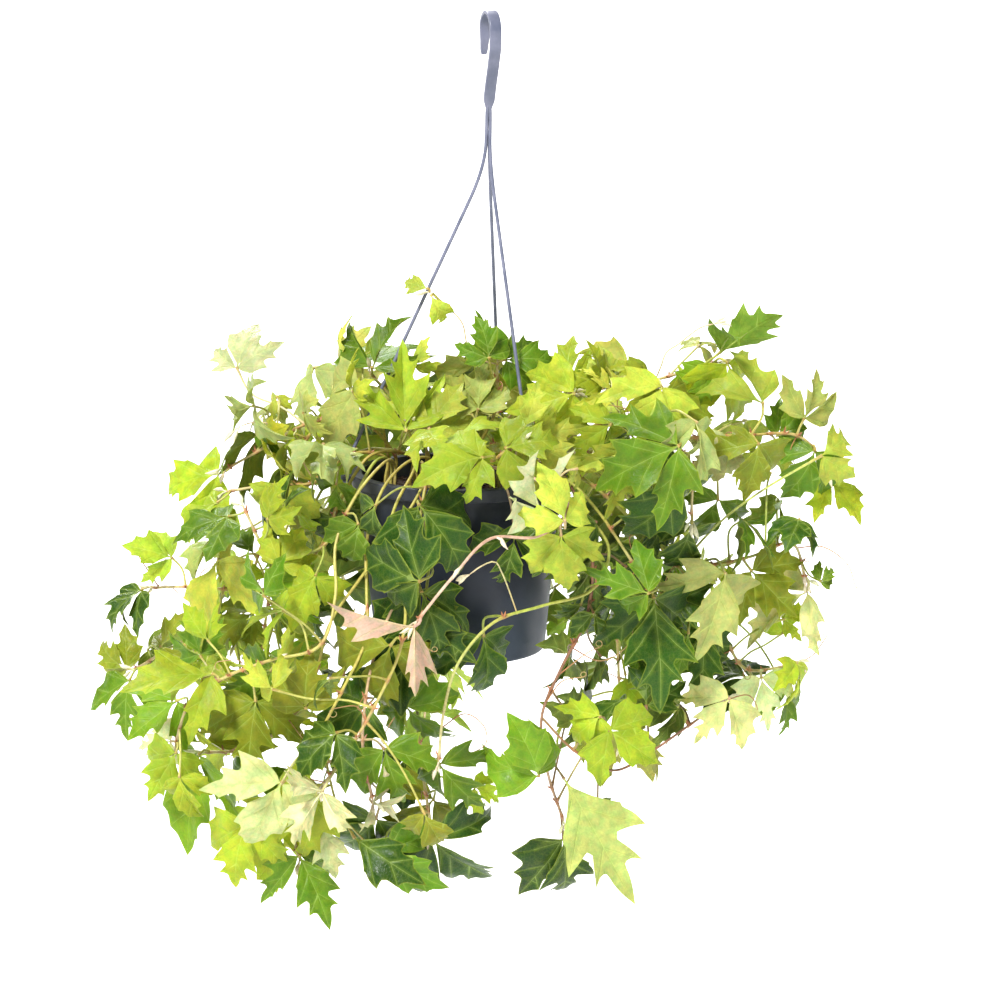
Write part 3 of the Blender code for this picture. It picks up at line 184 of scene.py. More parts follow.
# ---------- the growth plan
# One entry for each leafy stem: the bearing and reach (cm) of its hole in the soil, the places
# that the stem passes (across, drop, depth), side shoots, and its leaves (across, drop and depth
# of the point where the leaflets meet, the way the middle leaflet points: 0 right, 90 up, and
# that leaflet's length in millimetres, then what differs from a plain leaf).
PLAN = {
    "vine_01": dict(hole=(168, 5.6), stem=[(-9.5, 33.6, 0), (-14.3, 33.4, -1), (-18.2, 35.5, -2),
        (-21.6, 37.4, -3)],
        leaves=[(-22.2, 37.8, -4.5, 178, 72, dict(twist=-12)), (-20.6, 28.9, -1, 84, 56, dict(pitch=-10)),
            (-14.2, 28.8, 0, 238, 63, dict(pitch=28))]),
    "vine_02": dict(hole=(183, 6.2), stem=[(-11.0, 35.9, -2.5), (-14.2, 38.5, -5), (-17.8, 38.7, -6),
        (-21.6, 39.3, -6.5)],
        leaves=[(-22.3, 40.2, -7.5, 206, 60), (-17.0, 38.9, -8, -92, 54)]),
    "vine_03": dict(hole=(204, 6.2), stem=[(-9.6, 37.2, -7.5), (-13.2, 43.6, -10), (-17.4, 44.8, -11),
        (-19.0, 42.4, -11), (-20.2, 40.6, -10.5)],
        leaves=[(-21.4, 41.4, -11, 176, 56), (-14.2, 46.4, -12.5, 236, 56)]),
    "vine_04": dict(hole=(193, 4.2), stem=[(-10.4, 37.0, -5), (-14.2, 44.6, -6.5), (-18.0, 47.6, -7),
        (-23.5, 47.4, -6), (-28.0, 47.5, -4.5)],
        leaves=[(-28.8, 47.6, -4.5, 200, 60, dict(spread=46, twist=14)), (-22.4, 45.0, -8, 246, 81),
            (-17.3, 47.0, -9, -60, 58)]),
    "vine_05": dict(hole=(214, 6.4), stem=[(-8.8, 37.2, -8.8), (-12.3, 42.6, -12.8), (-13.0, 51.4, -16.8),
        (-17.2, 53.4, -17.4), (-21.0, 54.7, -17.2), (-23.9, 56.6, -16.6), (-25.9, 58.6, -16),
        (-26.3, 61.2, -15.6)],
        leaves=[(-23.0, 54.9, -14.6, 176, 74), (-26.0, 57.2, -14, 210, 60), (-18.0, 54.6, -14.6, 206, 54),
            (-19.4, 57.2, -14.6, 262, 69), (-26.2, 61.8, -15, 236, 49)]),
    "vine_06": dict(hole=(180, 3.8), stem=[(-11.2, 36.2, 0.5), (-15.5, 42.5, 1.5), (-19.5, 48.8, 1),
        (-25.0, 51.8, 0), (-29.6, 54.6, -1)],
        leaves=[(-30.2, 54.6, -1.5, 146, 52), (-30.0, 55.4, -2.5, 250, 65), (-25.4, 51.4, 1.5, 262, 63),
            (-19.5, 49.6, -1, 205, 56)]),
    "vine_07": dict(hole=(222, 4.2), stem=[(-5.2, 38.7, -10.8), (-8.0, 43.4, -13.2), (-13.0, 50.4, -13.6),
        (-15.4, 57.6, -13.6), (-21.0, 62.0, -13), (-23.8, 61.8, -13)],
        leaves=[(-24.3, 61.9, -14, 252, 88, dict(twist=8)), (-20.6, 61.6, -15.5, 84, 65),
            (-19.8, 63.4, -14.5, 250, 72), (-15.2, 58.0, -16, 96, 56)]),
    "vine_08": dict(hole=(240, 6.4), stem=[(-6.4, 38.4, -10.4), (-8.4, 43.6, -15.4), (-6.6, 50.2, -17.4),
        (-9.6, 58.2, -18.2), (-13.6, 64.4, -19)],
        leaves=[(-13.9, 65.2, -18.8, 232, 69, dict(under=True, fold=0.75)), (-14.6, 65.3, -17.5, 207, 88),
            (-8.0, 52.4, -15.4, 246, 83), (-12.6, 60.0, -16, 214, 58)]),
    "vine_09": dict(hole=(228, 2.4), stem=[(-4.4, 38.9, -10.6), (-5.8, 44.8, -12.8), (-9.2, 52.6, -14.6),
        (-10.4, 59.6, -16), (-10.1, 63.6, -16), (-9.6, 66.0, -16)],
        leaves=[(-9.6, 66.3, -16.4, -4, 56, dict(under=True, fold=0.9)), (-9.9, 57.6, -13, 200, 67),
            (-8.6, 61.4, -13, -74, 67), (-9.3, 67.6, -13, 236, 69)]),
    "vine_10": dict(hole=(252, 4.6), stem=[(-3.9, 39.4, -10.4), (-5.0, 48.0, -11), (-5.8, 57.0, -12),
        (-5.4, 63.0, -12.5), (-4.6, 68.6, -13)],
        leaves=[(-4.6, 69.4, -13.5, -52, 94, dict(twist=24)), (-4.4, 65.9, -13.5, 226, 69),
            (-8.6, 70.4, -12.5, -40, 65), (-6.8, 57.8, -14, -60, 69)]),
    "vine_11": dict(hole=(236, 4.4), stem=[(-7.9, 37.9, -9.6), (-10.2, 44.6, -12.4), (-10.0, 51.6, -15.2),
        (-13.4, 58.8, -16.4), (-16.6, 66.0, -15.5), (-15.9, 71.2, -15)],
        leaves=[(-18.4, 67.2, -14.5, 264, 76), (-15.9, 70.8, -15.2, -62, 69), (-11.8, 70.6, -13, 252, 60),
            (-17.3, 64.4, -18, 246, 78), (-20.4, 68.0, -12, 252, 67)]),
    "vine_12": dict(hole=(262, 6.6), stem=[(-4.6, 39.0, -11.2), (-5.6, 43.2, -12.6), (-5.9, 48.0, -13)],
        leaves=[(-5.6, 40.4, -13, -36, 87, dict(twist=8)), (-5.5, 47.0, -14, 164, 78, dict(twist=-10)),
            (-5.4, 47.8, -14.5, -58, 83), (-6.4, 49.8, -13.2, 258, 85, dict(twist=16))]),
    "vine_13": dict(hole=(301, 6.4), stem=[(4.6, 38.4, -9.6), (9.4, 42.4, -12), (10.4, 46.6, -13),
        (6.2, 48.6, -13.6), (1.8, 49.9, -15), (-0.6, 51.6, -16), (-2.9, 55.2, -16.4), (-3.7, 59.4, -16),
        (-4.0, 62.6, -15.6)],
        leaves=[(-0.2, 51.6, -13.8, -76, 72), (-4.0, 62.8, -15, -56, 74), (-3.4, 54.8, -13.6, 240, 63)]),
    "vine_14": dict(hole=(284, 4.6), stem=[(2.4, 37.6, -10.6), (6.4, 39.4, -13.6), (6.6, 42.4, -15),
        (3.2, 43.2, -16.2), (0.8, 43.0, -17), (-2.6, 46.4, -18.6), (-5.8, 50.4, -19.4)],
        leaves=[(-6.0, 50.9, -19.7, 181, 82, dict(under=True, pair=True, spread=92, fold=1.0,
                bend=0.35, pitch=0)),
            (6.6, 41.8, -16.4, 98, 54, dict(spread=78)), (6.3, 43.0, -16, -86, 56),
            (4.6, 41.0, -15, 124, 69, dict(under=True, fold=0.9))]),
    "vine_15": dict(hole=(318, 6.2), stem=[(6.0, 37.4, -7.6), (8.6, 42.6, -9.6), (8.8, 48.6, -9.6),
        (7.2, 52.8, -9.8), (4.9, 57.5, -10.2), (4.9, 61.4, -10.4), (5.5, 64.6, -10.6), (6.6, 67.8, -11)],
        shoots=[[(4.9, 57.5, -10.2), (8.2, 62.2, -10.6), (11.3, 63.3, -10.6), (15.5, 60.6, -9.6),
            (20.2, 57.2, -8.6)]],
        leaves=[(6.6, 64.0, -13.6, -60, 130, dict(pair=True, twist=6, pitch=0, bend=0.25,
                fold=0.25, spread=40)),
            (4.5, 63.9, -12, 98, 69),
            (6.6, 69.3, -10.8, 280, 84, dict(pair=True, twist=0, pitch=0, bend=0.3, spread=44)),
            (10.4, 59.8, -12.4, -30, 60), (20.6, 57.0, -9.4, 224, 63)]),
    "vine_16": dict(hole=(342, 4.8), stem=[(6.0, 35.2, -4.4), (11.0, 33.2, -8.4), (15.4, 34.4, -11),
        (17.0, 37.4, -12.2), (17.2, 41.6, -12.6)],
        leaves=[(16.1, 35.4, -13.0, 194, 87, dict(twist=10, spread=58)),
            (16.8, 37.8, -16.0, 240, 98, dict(twist=-8, pitch=6, fold=0.2)),
            (17.5, 33.4, -13.6, -58, 69, dict(fold=0.85)), (17.2, 42.4, -12.8, -102, 63)]),
    "vine_17": dict(hole=(350, 2.6), stem=[(4.6, 33.0, -2.6), (10.5, 30.4, -5.4), (14.4, 30.6, -7.6)],
        leaves=[(14.6, 30.4, -8.8, 244, 63, dict(spread=70)), (14.9, 30.7, -8.2, -40, 72),
            (14.0, 29.8, -7, 102, 56)]),
    "vine_18": dict(hole=(4, 5.2), stem=[(6.2, 33.4, 0.6), (12.5, 30.0, -1), (17.0, 29.6, -2.6),
        (19.2, 28.4, -3.4)],
        leaves=[(19.4, 27.6, -4, 48, 80, dict(under=True, pair=True, twist=0, pitch=4, fold=0.5,
                bend=0.4, spread=52)),
            (20.0, 28.4, -4.8, -64, 83, dict(twist=0, pitch=8, fold=0.3)), (18.6, 28.8, -5.4, 262, 54)]),
    "vine_19": dict(hole=(352, 6.8), stem=[(8.4, 36.0, -2.6), (14.0, 34.6, -5.4), (19.4, 34.8, -7.4),
        (24.5, 34.3, -7.8), (27.4, 35.4, -7.6), (28.6, 37.6, -7.6)],
        leaves=[(22.7, 35.2, -9.4, 268, 58, dict(spread=74)), (27.4, 35.8, -8.6, 250, 63),
            (28.6, 38.2, -8, -38, 52), (20.4, 35.8, -9, 234, 54)]),
    "vine_20": dict(hole=(331, 6.4), stem=[(8.6, 38.4, -6), (14.0, 43.4, -8), (19.4, 45.8, -9.2),
        (22.2, 44.8, -9.2), (26.4, 43.7, -8.6), (26.8, 46.8, -8.6)],
        leaves=[(20.3, 45.5, -11, 196, 54), (20.1, 46.2, -11.6, 258, 85), (22.2, 46.0, -10.4, -42, 63),
            (26.9, 47.8, -9.4, 204, 78, dict(twist=40, fold=0.8)), (21.4, 41.6, -9.6, -24, 60),
            (24.6, 40.2, -6.4, -84, 58)]),
    "vine_21": dict(hole=(312, 4.4), stem=[(7.0, 38.4, -9.2), (11.4, 44.0, -10.6), (13.9, 47.9, -11.2)],
        leaves=[(14.1, 48.3, -12.4, 276, 97, dict(twist=12)), (13.7, 48.0, -13, 160, 60),
            (14.7, 48.0, -11.4, -10, 69)]),
    "vine_22": dict(hole=(343, 6.9), stem=[(8.8, 37.4, -4), (13.4, 42.6, -5), (18.4, 48.6, -6),
        (22.0, 54.6, -6.6), (25.6, 54.2, -6.6)],
        leaves=[(22.2, 55.3, -7.2, 146, 65), (23.2, 55.2, -7.8, -74, 58), (26.2, 53.9, -7, -62, 54),
            (18.4, 51.0, -7.4, -92, 69)]),
    "vine_23": dict(hole=(300, 1.8), stem=[(0.4, 34.0, -2.4), (1.0, 30.4, -3), (1.0, 28.2, -3)],
        leaves=[(1.6, 28.2, -3.4, 8, 54), (-0.6, 28.4, -4, 262, 54)]),
    "vine_24": dict(hole=(238, 3.0), stem=[(-4.6, 34.6, -3.2), (-6.0, 33.4, -5)],
        leaves=[(-6.6, 34.2, -6.4, 96, 83, dict(fold=0.8, spread=52, pitch=4, twist=8)),
            (-4.6, 33.8, -7, 62, 56)]),
    "vine_25": dict(hole=(150, 4.4), stem=[(-6.2, 33.4, 1.4), (-8.8, 30.8, 0.6), (-9.6, 29.2, 0)],
        leaves=[(-9.4, 28.9, -0.6, 82, 69, dict(fold=0.8, twist=6)), (-10.4, 30.2, -2.6, 236, 65),
            (-8.2, 31.0, -2.6, 118, 54)]),
    "vine_26": dict(hole=(24, 3.8), stem=[(2.4, 33.0, -1), (5.2, 31.2, -3.2), (7.2, 31.0, -4.6)],
        leaves=[(7.4, 31.0, -6.4, 196, 69), (5.0, 31.6, -8, 262, 65), (6.6, 30.2, -4, 24, 56),
            (8.2, 32.0, -7.6, -62, 63)]),
    "vine_27": dict(hole=(282, 6.8), stem=[(1.0, 36.4, -9.6), (3.2, 35.0, -11.4)],
        leaves=[(1.6, 35.6, -12.2, 22, 67), (3.6, 35.0, -12.4, -28, 65), (-0.2, 36.4, -12.4, 184, 63)]),
}

# The far side, in the same manner but set out round the pot by a rule: the bearings of its stems.
BACK_BEARINGS = [16, 42, 66, 92, 118, 143, 167]
BACK_HOLE_REACH = (0.062, 0.034)        # alternately
BACK_CREST = 0.044                      # how far the stems rise over the rim
BACK_REACH = (0.190, 0.235)
BACK_DROP = (0.130, 0.270)              # how far below the rim their tips hang, at alternate stems


def turned(profile, sides):
    """A closed solid of revolution round the pot's axis; the profile starts and ends on it."""
    points, rings = [], []
    for reach, height in profile:
        if reach == 0:
            rings.append([len(points)])
            points.append(Vector((POT_X, 0, height)))
            continue
        rings.append(list(range(len(points), len(points) + sides)))
        points += [around_pot(360 * k / sides, reach, height) for k in range(sides)]
    faces = []
    for low, high in zip(rings, rings[1:]):
        for k in range(sides):
            after = (k + 1) % sides
            if len(low) == 1:
                faces.append((low[0], high[after], high[k]))
            elif len(high) == 1:
                faces.append((low[k], low[after], high[0]))
            else:
                faces.append((low[k], low[after], high[after], high[k]))
    return points, faces


def ring_frames(path, first_side):
    """For each point of a path its direction and two sides, carried along without twisting."""
    frames, side = [], first_side
    for k, point in enumerate(path):
        before, after = path[max(k - 1, 0)], path[min(k + 1, len(path) - 1)]
        ahead = (after - before).normalized()
        side = (side - ahead * side.dot(ahead)).normalized()
        frames.append((point, ahead, side, ahead.cross(side)))
    return frames


def rings(path, radii, sides, phase):
    """The rings of points of a tube along a path, with a radius at each of its points."""
    start = Vector((1, 0, 0)) if abs((path[1] - path[0]).normalized().x) < 0.9 else Vector((0, 1, 0))
    turns = [2 * math.pi * (k + phase) / sides for k in range(sides)]
    return [centre + (side * math.cos(turn) + other * math.sin(turn)) * radius
            for (centre, _, side, other), radius in zip(ring_frames(path, start), radii)
            for turn in turns]


def tube(path, radii, sides):
    """A closed tube with flat ends."""
    points, faces = rings(path, radii, sides, 0.5), []
    for ring in range(len(path) - 1):
        base = ring * sides
        for k in range(sides):
            after = (k + 1) % sides
            faces.append((base + k, base + after, base + sides + after, base + sides + k))
    faces.append(tuple(reversed(range(sides))))
    faces.append(tuple(range(len(points) - sides, len(points))))
    return points, faces


def spline(a, b, c, d, t):
    """A share t of the way from b to c on a smooth curve through a, b, c and d."""
    return 0.5 * (2 * b + (c - a) * t + (2 * a - 5 * b + 4 * c - d) * t * t
                  + (3 * b - a - 3 * c + d) * t ** 3)


def smooth_route(places, step):
    """Points about a step apart on a smooth curve through the given places."""
    padded = [places[0] * 2 - places[1], *places, places[-1] * 2 - places[-2]]
    fine = []
    for four in zip(padded, padded[1:], padded[2:], padded[3:]):
        fine += [spline(*four, k / SPLINE_STEPS) for k in range(SPLINE_STEPS)]
    fine.append(places[-1].copy())
    lengths = [0.0]
    for a, b in zip(fine, fine[1:]):
        lengths.append(lengths[-1] + (b - a).length)
    count = max(2, round(lengths[-1] / step))
    route, at = [], 0
    for k in range(count + 1):
        want = lengths[-1] * k / count
        while at < len(fine) - 2 and lengths[at + 1] < want:
            at += 1
        share = (want - lengths[at]) / max(lengths[at + 1] - lengths[at], 1e-9)
        route.append(fine[at].lerp(fine[at + 1], min(share, 1)))
    return route


def pot_radius(height):
    """The pot's outside radius under its rim band."""
    share = (height - (RIM_TOP - POT_HEIGHT)) / (POT_HEIGHT - RIM_BAND)
    return BASE_RADIUS + (NECK_RADIUS - BASE_RADIUS) * share


def pot_inside(height):
    """The pot's inside radius, from its floor up to its rim."""
    share = (height - (RIM_TOP - POT_HEIGHT + WALL)) / (POT_HEIGHT - WALL)
    return BASE_RADIUS - WALL + (NECK_RADIUS - BASE_RADIUS) * share


def pot_outside():
    """The pot's outer outline, closed level with its soil."""
    base, band = RIM_TOP - POT_HEIGHT, RIM_TOP - RIM_BAND
    return [(0, base), (BASE_RADIUS, base), (NECK_RADIUS, band), (RIM_RADIUS, band),
            (RIM_RADIUS, RIM_TOP), (NECK_RADIUS - WALL, RIM_TOP), (NECK_RADIUS - WALL, SOIL_TOP),
            (0, SOIL_TOP)]


def hook_place(along, height):
    """A point of the hook's own plane: along it from the arch's centre, and its height."""
    x, y, _ = HOOK_CENTRE
    return Vector((x - along * math.cos(HOOK_TURN), y + along * math.sin(HOOK_TURN), height))


def hook_route():
    """The centre line of the flat strap from the waist up, over the arch and down to the tip."""
    middle = HOOK_CENTRE[2]
    shank = [(0.0055, STRAND_TOP + GAP), (0.0056, -0.090), (0.0050, -0.077), (0.0005, -0.061),
             (-0.0085, -0.042), (-0.0148, -0.027)]
    route = smooth_route([hook_place(*place) for place in shank], 0.009)
    for k in range(ARCH_STEPS + 1):
        turn = math.pi * (1 - k / ARCH_STEPS)
        route.append(hook_place(HOOK_RADIUS * math.cos(turn), middle + HOOK_RADIUS * math.sin(turn)))
    route += [hook_place(HOOK_RADIUS + 0.0005, middle - 0.006), hook_place(0.0180, -0.0265),
              hook_place(0.0192, -0.0325)]
    return route


def strap_width(height, on_tip):
    """The strap's full width: a thin waist, a wide shank and arch, and a narrower tip."""
    if on_tip:
        return 0.0094 - 0.0030 * min(1, max(0, (-0.008 - height) / 0.02))
    waist, shoulder = -0.086, -0.070
    share = min(1, max(0, (height - waist) / (shoulder - waist)))
    return 0.0040 + 0.0056 * share


def strand_route(bearing, steps=BEND_STEPS):
    """From beside the waist in a bend out to above the ear, then straight down through it."""
    turn = math.radians(bearing)
    start = hook_place(0.0055, STRAND_TOP) + Vector((math.cos(turn), math.sin(turn), 0)) * STRAND_SPREAD
    corner = start + Vector((0, 0, -BEND_DROP))
    ear = around_pot(bearing, EAR_REACH, EAR_TOP)
    above = ear + Vector((0, 0, 0.010))
    slope = (above - corner).normalized()
    end = corner + slope * BEND_RUN
    route = [start.lerp(corner, k / steps).lerp(corner.lerp(end, k / steps), k / steps)
             for k in range(steps + 1)]
    under = EAR_TOP - EAR_THICK - GAP - 0.0001
    return route + [above - slope * 0.006, above, Vector((ear.x, ear.y, under))]


def near_points(a, b, c, d):
    """The nearest points of two straight runs a-b and c-d."""
    best = None
    for point, (start, end), swap in ((a, (c, d), False), (b, (c, d), False),
                                      (c, (a, b), True), (d, (a, b), True)):
        foot, share = intersect_point_line(point, start, end)
        foot = start.lerp(end, min(1, max(0, share)))
        pair = (foot, point) if swap else (point, foot)
        if best is None or (pair[0] - pair[1]).length < (best[0] - best[1]).length:
            best = pair
    along, other, gap = b - a, d - c, a - c
    e, f, g = along.dot(along), along.dot(other), other.dot(other)
    h, i = along.dot(gap), other.dot(gap)
    det = e * g - f * f
    if det > 1e-14:
        s, t = (f * i - g * h) / det, (e * i - f * h) / det
        if 0 < s < 1 and 0 < t < 1:
            pair = (a + along * s, c + other * t)
            if (pair[0] - pair[1]).length < (best[0] - best[1]).length:
                best = pair
    return best


def off_the_pot(point):
    """The shift that takes a stem's point clear of the pot's rim and wall, or none."""
    away = Vector((point.x - POT_X, point.y, 0))
    reach, room = away.length, POT_CLEAR
    if point.z > RIM_TOP + room or point.z < RIM_TOP - POT_HEIGHT - room:
        return Vector()
    if reach < NECK_RADIUS - WALL - room and point.z > SOIL_TOP - HOLE_DEPTH:
        return Vector()
    wall = RIM_RADIUS if point.z > RIM_TOP - RIM_BAND - room else pot_radius(point.z)
    out = wall + room - reach
    if out <= 0:
        return Vector()
    up = RIM_TOP + room - point.z
    return Vector((0, 0, up)) if up < out + 0.006 else away.normalized() * out


BEND_ROUNDS = 60
BEND_EASE = 0.6                 # how much of the shifts one round applies
PUSH_CLEAR = 1.04               # how far runs are pushed apart, against STEM_CLEAR
PUSH_GAIN = 1.4


def bend_clear(route, fixed, obstacles):
    """Bends a stem until it clears the pot and every run laid before it."""
    for _ in range(BEND_ROUNDS):
        moved = False
        shifts = [Vector() for _ in route]
        for k in range(len(route) - 1):
            a, b = route[k], route[k + 1]
            for share in (0, 0.25, 0.5, 0.75, 1):
                push = off_the_pot(a.lerp(b, share))
                if push.length > 1e-5:
                    shifts[k] += push * (1 - share)
                    shifts[k + 1] += push * share
                    moved = True
            for c, d in obstacles:
                if min(c.z, d.z) - max(a.z, b.z) > STEM_CLEAR or min(a.z, b.z) - max(c.z, d.z) > STEM_CLEAR:
                    continue
                p, q = near_points(a, b, c, d)
                gap = p - q
                if gap.length < STEM_CLEAR:
                    away = gap.normalized() if gap.length > 1e-6 else (b - a).cross(d - c).normalized()
                    push = away * (STEM_CLEAR * PUSH_CLEAR - gap.length)
                    share = (p - a).length / max((b - a).length, 1e-9)
                    shifts[k] += push * (1 - share) * PUSH_GAIN
                    shifts[k + 1] += push * share * PUSH_GAIN
                    moved = True
        if not moved:
            return True
        for k in range(fixed, len(route)):
            route[k] = route[k] + shifts[k] * BEND_EASE
    return False


def back_plan():
    """The far side's stems and leaves, in the plan's own form but as points in space."""
    draw = random.Random(BACK_SEED)
    plan = {}
    for number, bearing in enumerate(BACK_BEARINGS):
        reach = BACK_REACH[number % 2] + draw.uniform(-0.02, 0.02)
        drop = BACK_DROP[number % 2] + draw.uniform(-0.02, 0.03)
        lean = draw.uniform(-9, 9)
        rise = around_pot(bearing, 0.066, RIM_TOP + BACK_CREST)
        crest = around_pot(bearing + lean * 0.3, 0.125, RIM_TOP + BACK_CREST * 0.7)
        bend = around_pot(bearing + lean * 0.7, reach * 0.86, RIM_TOP - drop * 0.35)
        tip = around_pot(bearing + lean, reach, RIM_TOP - drop)
        leaves = []
        marks = [(0.30, 40, 82), (0.50, -46, 74), (0.70, 44, 67), (0.86, -40, 71), (1.0, 0, 65)]
        for share, swing, size in marks[1:] if number % 2 else marks[:4]:
            spot = smooth_route([rise, crest, bend, tip], 0.004)
            at = spot[int(share * (len(spot) - 1))]
            away = bearing + lean + swing
            turn = math.radians(away)
            out = Vector((math.cos(turn), math.sin(turn), 0))
            hub = at + out * 0.022 + Vector((0, 0, draw.uniform(-0.004, 0.012)))
            fall = draw.uniform(0.5, 1.1) if share > 0.35 else draw.uniform(0.0, 0.4)
            leaves.append((hub, (out - Vector((0, 0, fall))).normalized(), size + draw.uniform(-6, 6)))
        plan[vine(len(PLAN) + 1 + number)] = dict(
            hole=(bearing, BACK_HOLE_REACH[number % 2] / CM), route=[rise, crest, bend, tip], leaves=leaves)
    return plan


def lay_stems(strands):
    """Every stem's route, bent clear of the pot, the strands and each other."""
    obstacles = [run for route in strands for run in zip(route, route[1:])]
    stems = {}
    plans = [(name, plan, [growth(*place) for place in plan["stem"]]) for name, plan in PLAN.items()]
    plans += [(name, plan, plan["route"]) for name, plan in back_plan().items()]
    for name, plan, places in plans:
        bearing, reach = plan["hole"]
        foot = around_pot(bearing, reach * CM, SOIL_TOP - HOLE_DEPTH + FOOT_LIFT)
        root = [foot, foot + Vector((0, 0, HOLE_DEPTH + FOOT_TOP))]
        rising = foot + Vector((0, 0, HOLE_DEPTH + FOOT_RISE))
        route = root + smooth_route([rising, *places], STEM_STEP)
        bend_clear(route, 2, obstacles)
        obstacles += zip(route, route[1:])
        shoots = []
        for shoot in plan.get("shoots", []):
            places = [growth(*place) for place in shoot]
            places[0] = min(route, key=lambda point: (point - places[0]).length)
            branch = smooth_route(places, STEM_STEP)
            bend_clear(branch, 1, [run for run in obstacles if places[0] not in run])
            obstacles += zip(branch, branch[1:])
            shoots.append(branch)
        stems[name] = [route, *shoots]
    return stems


def stem_shape(route, is_shoot):
    """A stem or shoot as it is packed: a four-sided tube that thins towards its tip."""
    last = len(route) - 1
    thick = SHOOT_SHRINK if is_shoot else 1
    radii = [STEM_RADIUS * thick * (1 - 0.34 * k / last) for k in range(last + 1)]
    return tube(route, radii, STEM_SIDES)


# Half outlines of the leaflets, (along, aside) for a leaflet one unit long. A middle leaflet is
# alike on both sides; a side leaflet has its larger lobes on the side away from the middle one.
MIDDLE_LOBES = [(0.49, 0.36), (0.50, 0.16), (0.73, 0.24), (0.76, 0.11)]
OUTER_LOBES = [(0.33, 0.43), (0.42, 0.23), (0.66, 0.32), (0.71, 0.14)]
INNER_LOBES = [(0.54, 0.21), (0.66, 0.11)]
PLAIN_MIDDLE = [(0.48, 0.35), (0.64, 0.16)]
PLAIN_OUTER = [(0.38, 0.42), (0.60, 0.20)]
PLAIN_INNER = [(0.53, 0.20)]
FULL_SPREAD = 1.05              # with side leaflets closer than this, the lobes between are smaller
SIDE_LENGTH = 0.88              # of a side leaflet, against the middle one
NOTCH = 0.11                    # how near the leaflets' gaps come to the point where they meet
STALK_HALF = 0.0008
STALK_FREE = 0.006              # the stretch of a stalk next to its stem, which may touch the stem


def leaf_outline(size, form):
    """The flat outline of a leaf, anticlockwise from the stalk's right corner, in metres, and the
    points inside it along the middle rib. A pair is a leaf without its left side leaflet."""
    spread = form["spread"]
    large = size >= LARGE_LEAF
    middle, outer, inner = ((MIDDLE_LOBES, OUTER_LOBES, INNER_LOBES) if large
                            else (PLAIN_MIDDLE, PLAIN_OUTER, PLAIN_INNER))

    def place(along, aside, turn):
        ahead = Vector((math.sin(turn), math.cos(turn)))
        right = Vector((math.cos(turn), -math.sin(turn)))
        return (ahead * along + right * aside) * size

    room = min(1, spread / FULL_SPREAD) ** 1.5
    side = [(along * SIDE_LENGTH, aside * SIDE_LENGTH) for along, aside in outer]
    near = [(along * SIDE_LENGTH, -aside * SIDE_LENGTH * room) for along, aside in reversed(inner)]
    right_leaflet = [place(along, aside, spread) for along, aside in side]
    right_leaflet += [place(SIDE_LENGTH, 0, spread)] + [place(*point, spread) for point in near]
    half = [Vector((STALK_HALF, -STALK_BACK))] + right_leaflet + [place(NOTCH, 0, spread * 0.5)]
    half += [place(along, aside * room, 0) for along, aside in middle]
    left_half = half[:1] + half[1 + len(right_leaflet):] if form["pair"] else half
    mirror = [Vector((-point.x, point.y)) for point in reversed(left_half)]
    hub = Vector((0, 0.001))
    return half + [place(1, 0, 0)] + mirror, [hub, place(0.5, 0, 0)] if large else [hub]


def bent(flat, size, form, lift):
    """A flat leaf point on the arched and folded leaf, a little above or below its middle."""
    if flat.length < 1e-9:
        return Vector((0, 0, lift))
    turn = math.atan2(flat.x, flat.y)
    rib = min((-form["spread"], 0, form["spread"]), key=lambda angle: abs(angle - turn))
    right = Vector((math.cos(rib), -math.sin(rib)))
    aside = flat.dot(right)
    flat = flat - right * aside * (1 - math.cos(form["fold"]))
    reach = flat.length
    curve = form["bend"] / size
    swing = curve * reach
    out, up = math.sin(swing), math.cos(swing)
    ahead = Vector((flat.x, flat.y, 0)) / reach
    height = abs(aside) * math.sin(form["fold"]) + lift
    return ahead * (out / curve + out * height) + Vector((0, 0, (up - 1) / curve + up * height))


def leaf_shape(size, form, frame, stalk, half_blade, half_stalk):
    """A closed leaf as it is packed: a thin arched blade, drawn out into its four-sided stalk."""
    hub, right, ahead, normal = frame
    outline, rib = leaf_outline(size, form)
    edges = [(k, (k + 1) % len(outline)) for k in range(len(outline))]
    edges += [(len(outline) + k, len(outline) + k + 1) for k in range(len(rib) - 1)]
    points2, _, triangles, _, _, _ = delaunay_2d_cdt(outline + rib, edges, [], 1, 1e-7)
    count = len(points2)
    points = []
    for lift in (half_blade, -half_blade):
        for flat_point in points2:
            local = bent(flat_point, size, form, lift)
            points.append(hub + right * local.x + ahead * local.y + normal * local.z)
    faces = [tuple(triangle) for triangle in triangles]
    faces += [tuple(count + k for k in reversed(triangle)) for triangle in triangles]
    last = len(outline) - 1
    for k in range(last):
        faces.append((k + 1, k, count + k, count + k + 1))
    ring = [0, last, count + last, count]
    for centre, _, side, other in ring_frames([points[0].lerp(points[last], 0.5), *stalk], right)[1:]:
        start = len(points)
        points += [centre + side * a * half_stalk + other * b * half_stalk
                   for a, b in ((1, 1), (-1, 1), (-1, -1), (1, -1))]
        for k in range(4):
            after = (k + 1) % 4
            faces.append((ring[k], ring[after], start + after, start + k))
        ring = [start + k for k in range(4)]
    faces.append(tuple(ring))
    return points, faces


def leaf_frame(hub, ahead, face, twist):
    """The leaf's hub, right side, direction and upper side, turned about its own direction."""
    ahead = ahead.normalized()
    normal = (face - ahead * face.dot(ahead)).normalized()
    right = ahead.cross(normal)
    turn = math.radians(twist)
    up = normal * math.cos(turn) + right * math.sin(turn)
    return hub, ahead.cross(up), ahead, up


